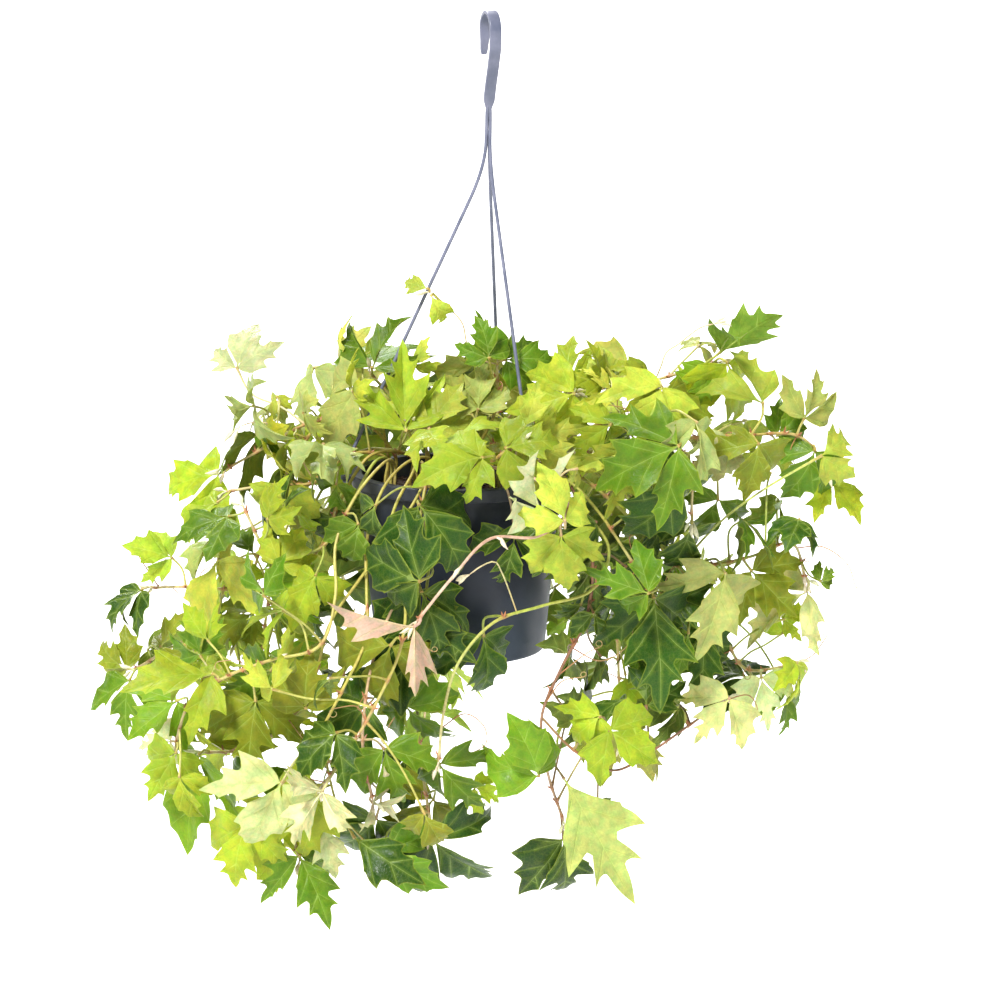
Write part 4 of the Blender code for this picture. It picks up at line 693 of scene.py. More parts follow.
def stalk_route(frame, stem_point):
    """A leaf stalk that leaves the leaf backwards and bows to its place on the stem."""
    hub, _, ahead, normal = frame
    start = hub - ahead * STALK_BACK
    span = (stem_point - start).length
    first = start - ahead * span * 0.34 - normal * span * 0.10
    second = stem_point + (start - stem_point) * 0.30 + Vector((0, 0, span * 0.12))
    shares = (0.5, 1.0) if span < 0.045 else (0.36, 0.7, 1.0)
    route = []
    for t in shares:
        u = 1 - t
        route.append(start * u ** 3 + first * 3 * u * u * t + second * 3 * u * t * t + stem_point * t ** 3)
    return route


def stem_place(stem, hub, taken):
    """The place on a stem where a leaf's stalk joins it: near the leaf, a little towards the root,
    and apart from the stalks that are there."""
    fine = []
    for route in stem:
        fine += smooth_route(route[2:] if route is stem[0] else route[1:], FINE_STEP)
    nearest = min(range(len(fine)), key=lambda k: (fine[k] - hub).length)
    start = max(0, nearest - round((fine[nearest] - hub).length * JOINT_LEAN / FINE_STEP))
    order = sorted(range(len(fine)), key=lambda k: abs(k - start))
    for k in order:
        if all((fine[k] - other).length > JOINT_APART for other in taken):
            return on_polyline(stem, fine[k])
    return fine[start]


def on_polyline(stem, point):
    """The nearest point of a stem's straight runs."""
    best = None
    for route in stem:
        for a, b in zip(route, route[1:]):
            _, share = intersect_point_line(point, a, b)
            foot = a.lerp(b, min(1, max(0, share)))
            if best is None or (foot - point).length < (best - point).length:
                best = foot
    return best


def leaf_tries():
    """Small departures from a leaf's planned place, the smallest first: depth (cm), twist, pitch."""
    tries = []
    for depth in (0, -0.8, 0.8, -1.6, 1.6, -2.4, 2.4, -3.4, 3.4, -4.6, 4.6, -6, 6):
        for twist in (0, 14, -14, 28, -28, 44, -44):
            for pitch in (0, 12, -12, 26, -26):
                cost = abs(depth) / 1.4 + abs(twist) / 20 + abs(pitch) / 16
                tries.append((cost, depth, twist, pitch))
    return [entry[1:] for entry in sorted(tries)]


class Thicket:
    """What has been placed so far, to keep every new leaf clear of it."""

    def __init__(self):
        self.points, self.faces, self.tree = [], [], None

    def add(self, shape):
        base = len(self.points)
        self.points += shape[0]
        self.faces += [tuple(base + k for k in face) for face in shape[1]]
        self.tree = None

    def touches(self, shape):
        if self.tree is None:
            self.tree = BVHTree.FromPolygons(self.points, self.faces)
        return bool(BVHTree.FromPolygons(*shape).overlap(self.tree))


def crosses_itself(shape):
    """Whether faces of a shape that share no corner cross each other."""
    tree = BVHTree.FromPolygons(*shape)
    faces = shape[1]
    return any(a < b and not set(faces[a]) & set(faces[b]) for a, b in tree.overlap(tree))


def planned_leaves(draw):
    """Every leaf as (vine, place, direction, size, form, pitch, twist, whether its back shows)."""
    rows = []
    for name, plan in PLAN.items():
        for across, drop, depth, aim, size, *more in plan["leaves"]:
            extra = more[0] if more else {}
            rows.append((name, (across, drop, depth), aim, size, extra))
    for name, plan in back_plan().items():
        for hub, ahead, size in plan["leaves"]:
            rows.append((name, hub, ahead, size, {}))
    leaves = []
    for name, place, aim, size, extra in rows:
        form = dict(spread=math.radians(extra.get("spread", 66) + draw.uniform(-6, 6)),
                    bend=extra.get("bend", draw.uniform(0.35, 0.95)),
                    fold=extra.get("fold", draw.uniform(0.14, 0.46)), pair=extra.get("pair", False))
        pitch = extra.get("pitch", draw.uniform(2, 34))
        twist = extra.get("twist", draw.uniform(-38, 38))
        leaves.append((name, place, aim, size * 0.001, form, pitch, twist, extra.get("under", False)))
    return leaves


def try_leaf(leaf, depth, twist_more, pitch_more):
    """The frame of one leaf at a departure from its plan."""
    _, place, aim, _, _, pitch, twist, under = leaf
    if isinstance(aim, Vector):
        out = Vector((place.x - POT_X, place.y, 0)).normalized()
        hub = place - out * depth * CM
        ahead = (aim + Vector((0, 0, math.sin(math.radians(pitch_more))))).normalized()
        face = out * 0.7 + Vector((0, 0, 0.7))
        return leaf_frame(hub, ahead, face, twist + twist_more)
    across, drop, at_depth = place
    hub = growth(across, drop, at_depth + depth)
    turn, lean = math.radians(aim), math.radians(pitch + pitch_more)
    seen = Vector((math.cos(turn), 0, math.sin(turn)))
    ahead = seen * math.cos(lean) + Vector((0, -math.sin(lean), 0))
    out = Vector((hub.x - POT_X, hub.y, 0)).normalized()
    face = Vector((0, -0.55, 0.38)) + out * 0.50
    return leaf_frame(hub, ahead, -face if under else face, twist + twist_more)


# ---------- the colours of leaves
# For each tone the colour above, the colour below, and how much light comes through.
TONES = {
    "d": ((0.022, 0.066, 0.004), (0.120, 0.175, 0.030), 0.10),      # dark green
    "b": ((0.016, 0.050, 0.004), (0.100, 0.150, 0.032), 0.08),      # darkest green
    "g": ((0.084, 0.180, 0.008), (0.215, 0.280, 0.050), 0.24),      # green
    "m": ((0.170, 0.310, 0.016), (0.250, 0.400, 0.060), 0.36),      # bright green
    "l": ((0.365, 0.460, 0.036), (0.450, 0.510, 0.110), 0.44),      # lime
    "y": ((0.530, 0.575, 0.085), (0.550, 0.590, 0.160), 0.46),      # yellow-green
    "p": ((0.405, 0.455, 0.165), (0.500, 0.530, 0.215), 0.38),      # pale green
    "s": ((0.560, 0.600, 0.330), (0.650, 0.650, 0.430), 0.34),      # silvery young green
    "o": ((0.220, 0.245, 0.018), (0.350, 0.350, 0.085), 0.34),      # olive
    "c": ((0.420, 0.380, 0.170), (0.600, 0.400, 0.325), 0.22),      # young, cream and pink below
}
# The tones of the planned leaves in the plan's order, a word for each vine.
LEAF_TONES = ("lsp ly gl dym lmgol oglo mogo slod sdgd bogg lgdsl dbdb dgd cyys "
              "pmbls gdpb yol mlm ogls lposgg dgd bsld gp ly gpl lyly lyl")
BACK_TONES = "gdlmbgpodmgl"
STEM_COLOURS = {"vine_14": (0.50, 0.31, 0.22), "vine_15": (0.22, 0.11, 0.06),
                "vine_09": (0.46, 0.33, 0.17), "vine_05": (0.46, 0.43, 0.10)}
STEM_COLOUR = (0.44, 0.38, 0.07)
NODE_COLOUR = (0.34, 0.13, 0.05)
YOUNG_COLOUR = (0.66, 0.52, 0.36)
OLD_COLOUR = (0.34, 0.23, 0.07)

# ---------- the detailed leaflet
# Half outlines, (along, aside) for a leaflet one unit long. Each row runs from one pointed tooth to
# the next, with a smooth edge between them.
MIDDLE_EDGE = [
    [(0, 0.008), (0.07, 0.016), (0.14, 0.080), (0.24, 0.185), (0.335, 0.285)],
    [(0.335, 0.285), (0.37, 0.280), (0.45, 0.325), (0.565, 0.370)],
    [(0.565, 0.370), (0.525, 0.260), (0.500, 0.140), (0.540, 0.115), (0.625, 0.165), (0.740, 0.235)],
    [(0.740, 0.235), (0.700, 0.150), (0.715, 0.092), (0.790, 0.085), (0.880, 0.060), (1, 0)],
]
OUTER_EDGE = [
    [(0, 0.008), (0.03, 0.018), (0.06, 0.100), (0.12, 0.220), (0.200, 0.330)],
    [(0.200, 0.330), (0.240, 0.345), (0.330, 0.405), (0.440, 0.470)],
    [(0.440, 0.470), (0.415, 0.350), (0.410, 0.215), (0.465, 0.185), (0.570, 0.245), (0.690, 0.310)],
    [(0.690, 0.310), (0.655, 0.200), (0.670, 0.125), (0.750, 0.115), (0.860, 0.080), (1, 0)],
]
INNER_EDGE = [
    [(0, 0.008), (0.05, 0.016), (0.15, 0.075), (0.32, 0.145), (0.555, 0.225)],
    [(0.555, 0.225), (0.550, 0.150), (0.600, 0.110), (0.675, 0.122), (0.770, 0.152)],
    [(0.770, 0.152), (0.785, 0.100), (0.880, 0.052), (1, 0)],
]
VARIANTS = 6                    # different outlines of each leaflet, the deepest lobed first
FINENESS = (0.052, 0.078, 0.115)        # the mesh's spacing on large, middling and small leaves
FINE_LENGTHS = (0.066, 0.047)   # the least lengths of a large and of a middling leaf
LEAF_THICK = 0.0006
VEIN_DEPTH = 0.00034            # how far the veins lie under the tissue between them
VEIN_WIDE = 0.0022              # from a vein up to the level of that tissue
CREASE = 0.03                   # half the width of the rounded crease along the midrib
RIB_PLACES = (0.02, 0.08, 0.16, 0.26, 0.38)     # where the raised rib under a leaflet runs
RIB_RADII = (0.00075, 0.00075, 0.0007, 0.0006, 0.0005, 0.0003)
# How limp a leaflet is and how long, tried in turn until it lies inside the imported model's box.
LIMP_TRIES = ((1, 1), (0.5, 1), (0, 1), (0, 0.92), (0, 0.84))


def edge_curve(run, step):
    """A smooth curve through one run of an outline, without its last point."""
    padded = [(2 * run[0][0] - run[1][0], 2 * run[0][1] - run[1][1]), *run,
              (2 * run[-1][0] - run[-2][0], 2 * run[-1][1] - run[-2][1])]
    curve = []
    for a, b, c, d in zip(padded, padded[1:], padded[2:], padded[3:]):
        count = max(1, round(math.dist(b, c) / step))
        curve += [[spline(*four, k / count) for four in zip(a, b, c, d)] for k in range(count)]
    return curve


def to_segments(points, starts, ends, wide=1.0):
    """The distance of each point to the nearest of some straight segments, against their widths."""
    along = ends - starts
    share = ((points[:, None] - starts) * along).sum(2) / np.maximum((along ** 2).sum(1), 1e-12)
    foot = starts + along * np.clip(share, 0, 1)[..., None]
    return (np.sqrt(((points[:, None] - foot) ** 2).sum(2)) / wide).min(1)


def inside(points, loop):
    """Which points lie in a closed outline."""
    after = np.roll(loop, -1, 0)
    x, y = points[:, None, 0], points[:, None, 1]
    crosses = (loop[:, 1] > y) != (after[:, 1] > y)
    rise = np.where(after[:, 1] == loop[:, 1], 1e-12, after[:, 1] - loop[:, 1])
    left = x < loop[:, 0] + (y - loop[:, 1]) * (after[:, 0] - loop[:, 0]) / rise
    return (crosses & left).sum(1) % 2 == 1


def fuller(edge, share):
    """A half outline with its bays, from the first large lobe on, drawn out by a share."""
    runs = edge[:2]
    for run in edge[2:]:
        last = len(run) - 1
        runs.append([tuple(c + (a + (b - a) * k / last - c) * (share if 0 < k < last else 0)
                           for a, b, c in zip(run[0], run[-1], spot)) for k, spot in enumerate(run)])
    return runs


def vein_to(tip):
    """A side vein, from the midrib to a large tooth."""
    start = (max(0.06, tip[0] - abs(tip[1]) * 1.05), 0)
    middle = (start[0] * 0.46 + tip[0] * 0.54, tip[1] * 0.50)
    end = (start[0] * 0.08 + tip[0] * 0.92, tip[1] * 0.92)
    return [start, middle, end]


def blade_grid(loop, starts, ends, spacing):
    """Points in a triangular pattern inside an outline, clear of its edge and its veins."""
    rows = np.arange(-0.5, 0.5, spacing * 0.87)
    grid = np.array([(x + spacing * 0.5 * (k % 2), y) for k, y in enumerate(rows)
                     for x in np.arange(0.02, 1.0, spacing)])
    grid = grid[inside(grid, loop)]
    clear = to_segments(grid, loop, np.roll(loop, -1, 0)) > spacing * 0.45
    return grid[clear & (to_segments(grid, starts, ends) > spacing * 0.42)]


def rim_of(faces):
    """The edges of a triangle mesh with a face on one side only, in its faces' direction."""
    runs = {}
    for face in faces.tolist():
        for a, b in ((face[0], face[1]), (face[1], face[2]), (face[2], face[0])):
            runs[(a, b)] = True
    return np.array([run for run in runs if run[::-1] not in runs])


def leaflet_template(right_edge, left_edge, spacing, full, draw):
    """A flat leaflet one unit long, with its veins drawn into its mesh. Its tip is at (1, 0)."""
    right_edge, left_edge = fuller(right_edge, full), fuller(left_edge, full)
    sway = [draw.uniform(0, 6.28) for _ in range(4)]
    width = [draw.uniform(0.80, 1.04) * (1 if full else 0.80) for _ in range(2)]

    def shape(along, aside, side):
        wave = 1 + 0.07 * math.sin(7.5 * along + sway[side])
        shift = 0.016 * math.sin(9 * along + sway[2 + side]) * min(1, abs(aside) * 8)
        return along + shift, (aside if side == 0 else -aside) * (width[side] * wave)

    sides, veins = [], []
    for number, edge in enumerate((right_edge, left_edge)):
        sides.append([shape(*point, number) for run in edge for point in edge_curve(run, spacing * 0.62)])
        veins += [vein_to(shape(*run[-1], number)) for run in edge[:-1]]
    outline = sides[0] + [(1.0, 0.0)] + sides[1][::-1]
    loop = np.array(outline)
    marks = sorted({0.02, 0.94, *(vein[0][0] for vein in veins), *np.arange(0.08, 0.93, spacing * 1.5)})
    midrib = [(mark, 0.0) for k, mark in enumerate(marks) if k == 0 or mark - marks[k - 1] > 0.012]
    lines = [np.array(midrib)] + [np.array(vein) for vein in veins]
    starts = np.concatenate([line[:-1] for line in lines])
    ends = np.concatenate([line[1:] for line in lines])
    wide = np.concatenate([1.15 - 0.75 * lines[0][:-1, 0], *[np.array([0.62, 0.40])] * len(veins)])
    grid = blade_grid(loop, starts, ends, spacing)
    joins = [(k, (k + 1) % len(outline)) for k in range(len(outline))]
    fixed = outline
    for line in lines:
        joins += [(len(fixed) + k, len(fixed) + k + 1) for k in range(len(line) - 1)]
        fixed = fixed + line.tolist()
    for _ in range(2):
        spots = [Vector(spot) for spot in fixed + grid.tolist()]
        flat, _, faces, _, _, _ = delaunay_2d_cdt(spots, joins, [], 1, 1e-5)
        flat = np.array(flat)
        faces = np.array([face for face in faces if len(face) == 3], int)
        centres = flat[faces].mean(1)
        on_veins = to_segments(flat, starts, ends)[faces].max(1) < 1e-4
        bridging = on_veins & (to_segments(centres, starts, ends) > 0.006)
        grid = np.concatenate([grid, centres[bridging]])
    used, faces = np.unique(faces, return_inverse=True)
    flat, faces = flat[used], faces.reshape(-1, 3)[:, ::-1]
    return dict(flat=flat, faces=faces, rim=rim_of(faces), groove=to_segments(flat, starts, ends),
                vein=to_segments(flat, starts, ends, wide),
                edge=to_segments(flat, loop, np.roll(loop, -1, 0)))


def make_templates():
    """The leaflets for every fineness: middle ones, and side ones with their large lobes outside."""
    draw = random.Random(LEAFLET_SEED)
    kinds = {"middle": (MIDDLE_EDGE, MIDDLE_EDGE), "right": (OUTER_EDGE, INNER_EDGE),
             "left": (INNER_EDGE, OUTER_EDGE)}
    return {kind: [[leaflet_template(*edges, spacing, 0.14 * k, draw) for k in range(VARIANTS)]
                   for spacing in FINENESS] for kind, edges in kinds.items()}


# ---------- gathering one vine's mesh
def into_scene(name, data):
    """A new object in the scene."""
    made = bpy.data.objects.new(name, data)
    bpy.context.scene.collection.objects.link(made)
    return made


class Foliage:
    """The points, triangles and point values of one piece, gathered part by part."""

    def __init__(self):
        self.count = 0
        self.points, self.faces, self.slots = [], [], []
        self.values = {name: [] for name in ("tone", "place", "vein", "rim", "under")}

    def add(self, points, faces, slot, **values):
        points, faces = np.asarray(points, float), np.asarray(faces, int)
        self.points.append(points)
        self.faces.append(faces + self.count)
        self.slots.append(np.full(len(faces), slot))
        self.count += len(points)
        for name, held in self.values.items():
            width = {"tone": (4,), "place": (3,)}.get(name, ())
            held.append(np.broadcast_to(np.asarray(values.get(name, 0), float), (len(points), *width)))

    def add_tube(self, path, radii, sides, colours, slot=1):
        """A closed round tube with a radius and a colour at each point of its path."""
        points = rings(path, radii, sides, 0) + [path[0], path[-1]]
        last = (len(path) - 1) * sides
        faces = []
        for k in range(sides):
            after = (k + 1) % sides
            for base in range(0, last, sides):
                a, b = base + k, base + after
                faces += [(a, b, b + sides), (a, b + sides, a + sides)]
            faces += [(last + sides, after, k), (last + sides + 1, last + k, last + after)]
        tone = [colour for colour in colours for _ in range(sides)] + [colours[0], colours[-1]]
        self.add(points, faces, slot, tone=[(*colour, 0) for colour in tone])

    def build(self, name, materials):
        """The piece, with the point values as attributes that its materials read."""
        mesh = bpy.data.meshes.new(name)
        points, faces = np.concatenate(self.points), np.concatenate(self.faces)
        mesh.vertices.add(len(points))
        mesh.vertices.foreach_set("co", points.astype(np.float32).ravel())
        mesh.loops.add(faces.size)
        mesh.loops.foreach_set("vertex_index", faces.ravel().astype(np.int32))
        mesh.polygons.add(len(faces))
        mesh.polygons.foreach_set("loop_start", np.arange(0, faces.size, 3, dtype=np.int32))
        mesh.polygons.foreach_set("material_index", np.concatenate(self.slots).astype(np.int32))
        mesh.update(calc_edges=True)
        for value, held in self.values.items():
            held = np.concatenate(held).astype(np.float32)
            kind, field = {4: ("FLOAT_COLOR", "color"), 3: ("FLOAT_VECTOR", "vector")}.get(
                held.shape[1] if held.ndim > 1 else 1, ("FLOAT", "value"))
            mesh.attributes.new(value, kind, "POINT").data.foreach_set(field, held.ravel())
        for paint in materials:
            mesh.materials.append(paint)
        mesh.shade_smooth()
        mesh.set_sharp_from_angle(angle=math.radians(55))
        return into_scene(name, mesh)


# ---------- leaves and stems in detail
def mixed(first, second, share):
    """A colour between two."""
    return tuple(a + (b - a) * share for a, b in zip(first, second))


def turned_by(first, second, angle):
    """Two axes' values, turned in their own plane."""
    return (first * math.cos(angle) - second * math.sin(angle),
            first * math.sin(angle) + second * math.cos(angle))


def bend_leaflet(template, turn, length, size, form, limp, draw):
    """The top points of one leaflet and the directions out of its blade, in the leaf's own axes: right,
    ahead and up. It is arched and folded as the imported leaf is, with a roll, a droop and waves of its
    own, as far as it is limp."""
    along, aside = template["flat"].T * length
    away = np.abs(aside)
    # Folded along its midrib, with its edges curling down.
    crease = np.sqrt(away ** 2 + (CREASE * length) ** 2) - CREASE * length
    height = math.sin(form["fold"]) * crease - form.get("curl", 0.35) * away ** 2 / length
    aside = aside * math.cos(form["fold"])
    # Waves along its edges and across it, and veins that lie in it.
    waves = 0.018 * np.sin(along / length * 11 + draw.uniform(0, 6.28)) * np.minimum(1, away / length * 6)
    waves += 0.012 * np.sin(aside / length * 19 + along / length * 7 + draw.uniform(0, 6.28))
    height += length * waves * np.minimum(1, along / (0.12 * length))
    quilt = np.minimum(1, template["groove"] * length / VEIN_WIDE)
    height += VEIN_DEPTH * (quilt - 1) * np.minimum(1, length / 0.05)
    # Its own roll, droop and sag.
    roll = draw.uniform(-0.34, 0.34) + 0.12 * np.sign(turn)
    droop = draw.uniform(0.02, 0.62) if turn else draw.uniform(-0.10, 0.34)
    sag = 0.85 * draw.random() ** 1.6 * limp
    turn *= 1 - limp * draw.uniform(0.0, 0.26)
    aside, height = turned_by(aside, height, roll * limp)
    swing = sag * along / length
    along, height = turned_by(along, height, -droop * limp)
    height -= along * np.sin(swing) * 0.5
    along = along * np.cos(swing)
    # Turned to its side of the leaf and laid over the leaf's arch.
    x = along * math.sin(turn) + aside * math.cos(turn)
    y = along * math.cos(turn) - aside * math.sin(turn)
    reach = np.maximum(np.hypot(x, y), 1e-6)
    curve = form["bend"] / size
    swing = curve * reach
    out, up = np.sin(swing), np.cos(swing)
    run = out / curve + out * height
    points = np.stack([x / reach * run, y / reach * run, (up - 1) / curve + up * height], 1)
    return points, facing(points, template["faces"])


def facing(points, faces):
    """The direction out of a surface at each of its points."""
    corners = points[faces]
    flat = np.cross(corners[:, 1] - corners[:, 0], corners[:, 2] - corners[:, 0])
    normals = np.zeros_like(points)
    for k in range(3):
        np.add.at(normals, faces[:, k], flat)
    return normals / np.maximum(np.linalg.norm(normals, axis=1), 1e-12)[:, None]


def add_leaf(foliage, templates, leaf, draw):
    """One leaf: its separate leaflets, the rib under each of them and the leaf's stalk."""
    hub, right, ahead, normal = leaf["frame"]
    size, form = leaf["size"], leaf["form"]
    upper, lower, through = TONES[leaf["tone"]]
    bright = draw.uniform(0.82, 1.16)
    tint = [bright * draw.uniform(0.92, 1.08), bright, bright * draw.uniform(0.8, 1.2)]
    if leaf["tone"] == "c":
        tint = [1, 1, 1]
    upper = tuple(c * t for c, t in zip(upper, tint))
    lower = tuple(c * t for c, t in zip(lower, tint))
    axes = np.array([right, ahead, normal])
    level = sum(size < length for length in FINE_LENGTHS)
    offset = np.array([draw.uniform(0, 50) for _ in range(3)])
    leaflets = (("middle", 0, 1), ("right", form["spread"], SIDE_LENGTH),
                ("left", -form["spread"], SIDE_LENGTH))
    great = size > GREAT_LEAF
    for kind, turn, share in leaflets[:leaf["leaflets"]]:
        template = templates[kind][level][0 if great else draw.randrange(VARIANTS)]
        length = size * share * draw.uniform(0.95, 1.04)
        seed = draw.random()
        for limp, less in LIMP_TRIES:
            if great and limp:
                continue
            bare, outwards = bend_leaflet(template, turn, length * less, size, form, limp,
                                          random.Random(seed))
            if inside_box((bare @ axes + np.array(hub)).tolist()):
                break
        count = len(bare)
        thin = LEAF_THICK / 2 * (0.4 + 0.6 * np.minimum(1, template["edge"] * length / 0.0012))[:, None]
        both = np.concatenate([bare + outwards * thin, bare - outwards * thin]) @ axes + np.array(hub)
        faces, rim = template["faces"], template["rim"]
        walls = np.concatenate([np.stack([rim[:, 1], rim[:, 0], rim[:, 0] + count], 1),
                                np.stack([rim[:, 1], rim[:, 0] + count, rim[:, 1] + count], 1)])
        faces = np.concatenate([faces, faces[:, ::-1] + count, walls])
        tone = np.empty((2 * count, 4))
        tone[:count, :3], tone[count:, :3], tone[:, 3] = upper, lower, through
        flat = np.concatenate([template["flat"] * length * 100, np.zeros((count, 1))], 1) + offset
        foliage.add(both, faces, 0, tone=tone, place=np.tile(flat, (2, 1)),
                    vein=np.tile(template["vein"] * length * 1000, 2),
                    rim=np.tile(template["edge"] * length * 1000, 2),
                    under=np.repeat([0.0, 1.0], count))
        rib = [int(np.abs(template["flat"] - (along, 0)).sum(1).argmin()) for along in RIB_PLACES]
        path = [hub] + [Vector(p) for p in (bare[rib] - outwards[rib] * LEAF_THICK * 0.7) @ axes
                        + np.array(hub)]
        rib_colour = mixed(lower, (0.5, 0.5, 0.12), 0.4)
        foliage.add_tube(path, RIB_RADII, 5,
                         [mixed(rib_colour, NODE_COLOUR, 0.3)] + [rib_colour] * 5)
    add_stalk(foliage, leaf)


def add_stalk(foliage, leaf):
    """The leaf's stalk, thicker where it meets its leaf and its stem."""
    hub, _, ahead, _ = leaf["frame"]
    start, end = hub + ahead * 0.001, leaf["joint"]
    coarse = [start, *stalk_route(leaf["frame"], end)]
    path = smooth_route(coarse, max(0.003, (end - start).length / 12))
    last = len(path) - 1
    thick = 0.00062 + 0.0055 * min(0.08, leaf["size"])
    radii = [thick * (1 + 0.5 * math.exp(-k * 1.4) + 0.6 * math.exp((k - last) * 1.2))
             for k in range(last + 1)]
    colour = mixed(leaf["stem_colour"], TONES[leaf["tone"]][1], 0.35)
    colours = [mixed(colour, NODE_COLOUR, 0.55 * math.exp(-k * 1.1) + 0.5 * math.exp((k - last) * 1.0))
               for k in range(last + 1)]
    foliage.add_tube(path, radii, 6, colours)


def add_stem(foliage, route, joints, colour, shrink, draw):
    """A stem or shoot: a smooth round tube that swells and reddens at each joint."""
    fine = smooth_route(route, BARK_STEP)
    last = len(fine) - 1
    phase = draw.uniform(0, 6.28)
    radii, colours = [], []
    for k, point in enumerate(fine):
        near = min([(point - joint).length for joint in joints] + [1.0])
        swell = math.exp(-(near / 0.0032) ** 2)
        radii.append(STEM_RADIUS * shrink * (0.76 - 0.16 * abs(k / last - 0.4)) * (1 + 0.42 * swell))
        young = max(0, (k / last - 0.72) / 0.28)
        tint = mixed(mixed(colour, YOUNG_COLOUR, 0.55 * young), OLD_COLOUR, 0.6 * max(0, 1 - 3 * k / last))
        tint = mixed(tint, NODE_COLOUR, min(1, 0.75 * swell + 0.10 * (1 + math.sin(k * 0.35 + phase))))
        colours.append(tint)
    radii[-1] *= 0.5
    foliage.add_tube(fine, radii, 8, colours)
    for joint in joints:
        add_scales(foliage, joint, draw)


def add_scales(foliage, joint, draw):
    """Two small brown scales that clasp a joint."""
    for side in (-1, 1):
        away = Vector((draw.uniform(-1, 1), draw.uniform(-1, 1), draw.uniform(-0.4, 1))).normalized() * side
        path = [joint + away * 0.0008, joint + away * 0.0026 + Vector((0, 0, 0.0006)),
                joint + away * 0.0044 + Vector((0, 0, 0.0022))]
        foliage.add_tube(path, [0.0010, 0.0009, 0.0002], 5, [NODE_COLOUR] * 3)


def add_bud(foliage, start, ahead, length, colour):
    """A young leaf that is still folded: a slim pointed form."""
    side = ahead.orthogonal().normalized()
    path = [start + ahead * length * share + side * length * 0.10 * math.sin(3.1 * share)
            for share in (0, 0.18, 0.4, 0.65, 0.85, 1)]
    radii = [length * wide for wide in (0.045, 0.11, 0.15, 0.12, 0.06, 0.012)]
    pale = mixed(colour, (0.75, 0.72, 0.50), 0.5)
    foliage.add_tube(path, radii, 6, [colour, colour, pale, pale, colour, colour])


def add_young_tip(foliage, fine, draw):
    """The growing end of a stem: a few folded leaves on short stalks."""
    tip, ahead = fine[-1], (fine[-1] - fine[-3]).normalized()
    for _ in range(3):
        away = (ahead + Vector([draw.uniform(-0.7, 0.7) for _ in range(3)])).normalized()
        length = draw.uniform(0.007, 0.014)
        foot = tip + away * length * 0.35
        colour = mixed(YOUNG_COLOUR, TONES["s"][0], draw.random())
        foliage.add_tube([tip, tip + away * length * 0.18, foot], [0.0007, 0.0006, 0.0006], 5, [colour] * 3)
        add_bud(foliage, foot, (away + Vector((0, 0, -0.25))).normalized(), length, colour)


def add_tendril(foliage, places, draw, curl=True, thick=0.00062):
    """A wiry tendril along its places, which may end in a small coil."""
    path = smooth_route(places, 0.0025)
    if curl:
        ahead = (path[-1] - path[-3]).normalized()
        side = ahead.cross(Vector((draw.uniform(-0.4, 0.4), 1, draw.uniform(-0.4, 0.4)))).normalized()
        wide = draw.uniform(0.0022, 0.0042)
        centre, drift = path[-1] + side * wide, ahead.cross(side) * 0.0016
        for k in range(1, 15):
            turn = k * 0.42
            size = wide * (1 - 0.035 * k)
            round_it = ahead * math.sin(turn) - side * math.cos(turn)
            path.append(centre + round_it * size + drift * turn * 0.3)
    last = len(path) - 1
    radii = [thick * (1 - 0.6 * k / last) for k in range(last + 1)]
    colours = [mixed(NODE_COLOUR, (0.42, 0.34, 0.12), k / last) for k in range(last + 1)]
    foliage.add_tube(path, radii, 5, colours)


# ---------- where every leaf goes
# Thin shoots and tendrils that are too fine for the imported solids, as (vine's number, places in
# the plan's own across, drop and depth). A tendril's last value says whether it ends in a coil.
SPRIGS = [
    (23, [(1.0, 28.6, -3), (-1.3, 27.7, -2.6), (-2.0, 25.0, -2.2), (-4.6, 22.6, -2)]),
    (17, [(13.4, 30.6, -8.4), (14.6, 28.5, -8.6), (15.0, 27.5, -8.4), (15.8, 27.0, -8.2),
          (17.6, 25.6, -8), (18.9, 25.2, -8)]),
    (2, [(-14.2, 38.5, -5), (-16.6, 34.6, -6), (-18.6, 33.4, -6.2), (-20.4, 33.8, -6)]),
    (13, [(1.8, 49.9, -12.6), (1.6, 46.8, -13.6), (0.6, 45.2, -14.2), (-1.4, 46.4, -14.6)]),
]
TENDRILS = [
    (4, [(-27.2, 47.2, -4.5), (-29.0, 44.8, -5), (-29.7, 43.4, -5), (-30.3, 41.2, -5)], False),
    (20, [(26.5, 43.7, -8.6), (28.2, 44.0, -8.8), (30.2, 45.4, -8.6), (31.0, 47.4, -8.4)], True),
    (15, [(20.2, 57.2, -8.6), (22.2, 56.8, -8.8), (23.0, 58.4, -9), (22.4, 60.0, -9),
          (21.2, 60.0, -9)], False),
    (13, [(-3.4, 58.8, -13.8), (-1.8, 58.4, -14.4), (-0.2, 59.4, -14.4), (0.0, 61.0, -14),
          (-1.4, 61.8, -13.8), (-2.6, 61.2, -14)], True),
    (15, [(7.2, 52.8, -9.8), (9.6, 53.8, -10.2), (11.8, 52.6, -10.6), (12.6, 50.3, -11)], False),
    (15, [(7.2, 55.4, -10.2), (8.4, 53.2, -10.6), (9.6, 52.6, -10.8)], True),
    (15, [(4.9, 57.5, -10.2), (6.4, 55.6, -10.8), (8.2, 55.2, -11)], True),
    (8, [(-13.6, 64.4, -18.5), (-16.4, 64.0, -19), (-18.0, 65.4, -19)], True),
    (10, [(-5.8, 57.0, -12), (-7.6, 58.6, -13), (-8.8, 60.6, -13.4)], True),
    (22, [(25.6, 54.2, -6.6), (27.4, 53.4, -6.8), (28.6, 51.8, -7)], True),
]
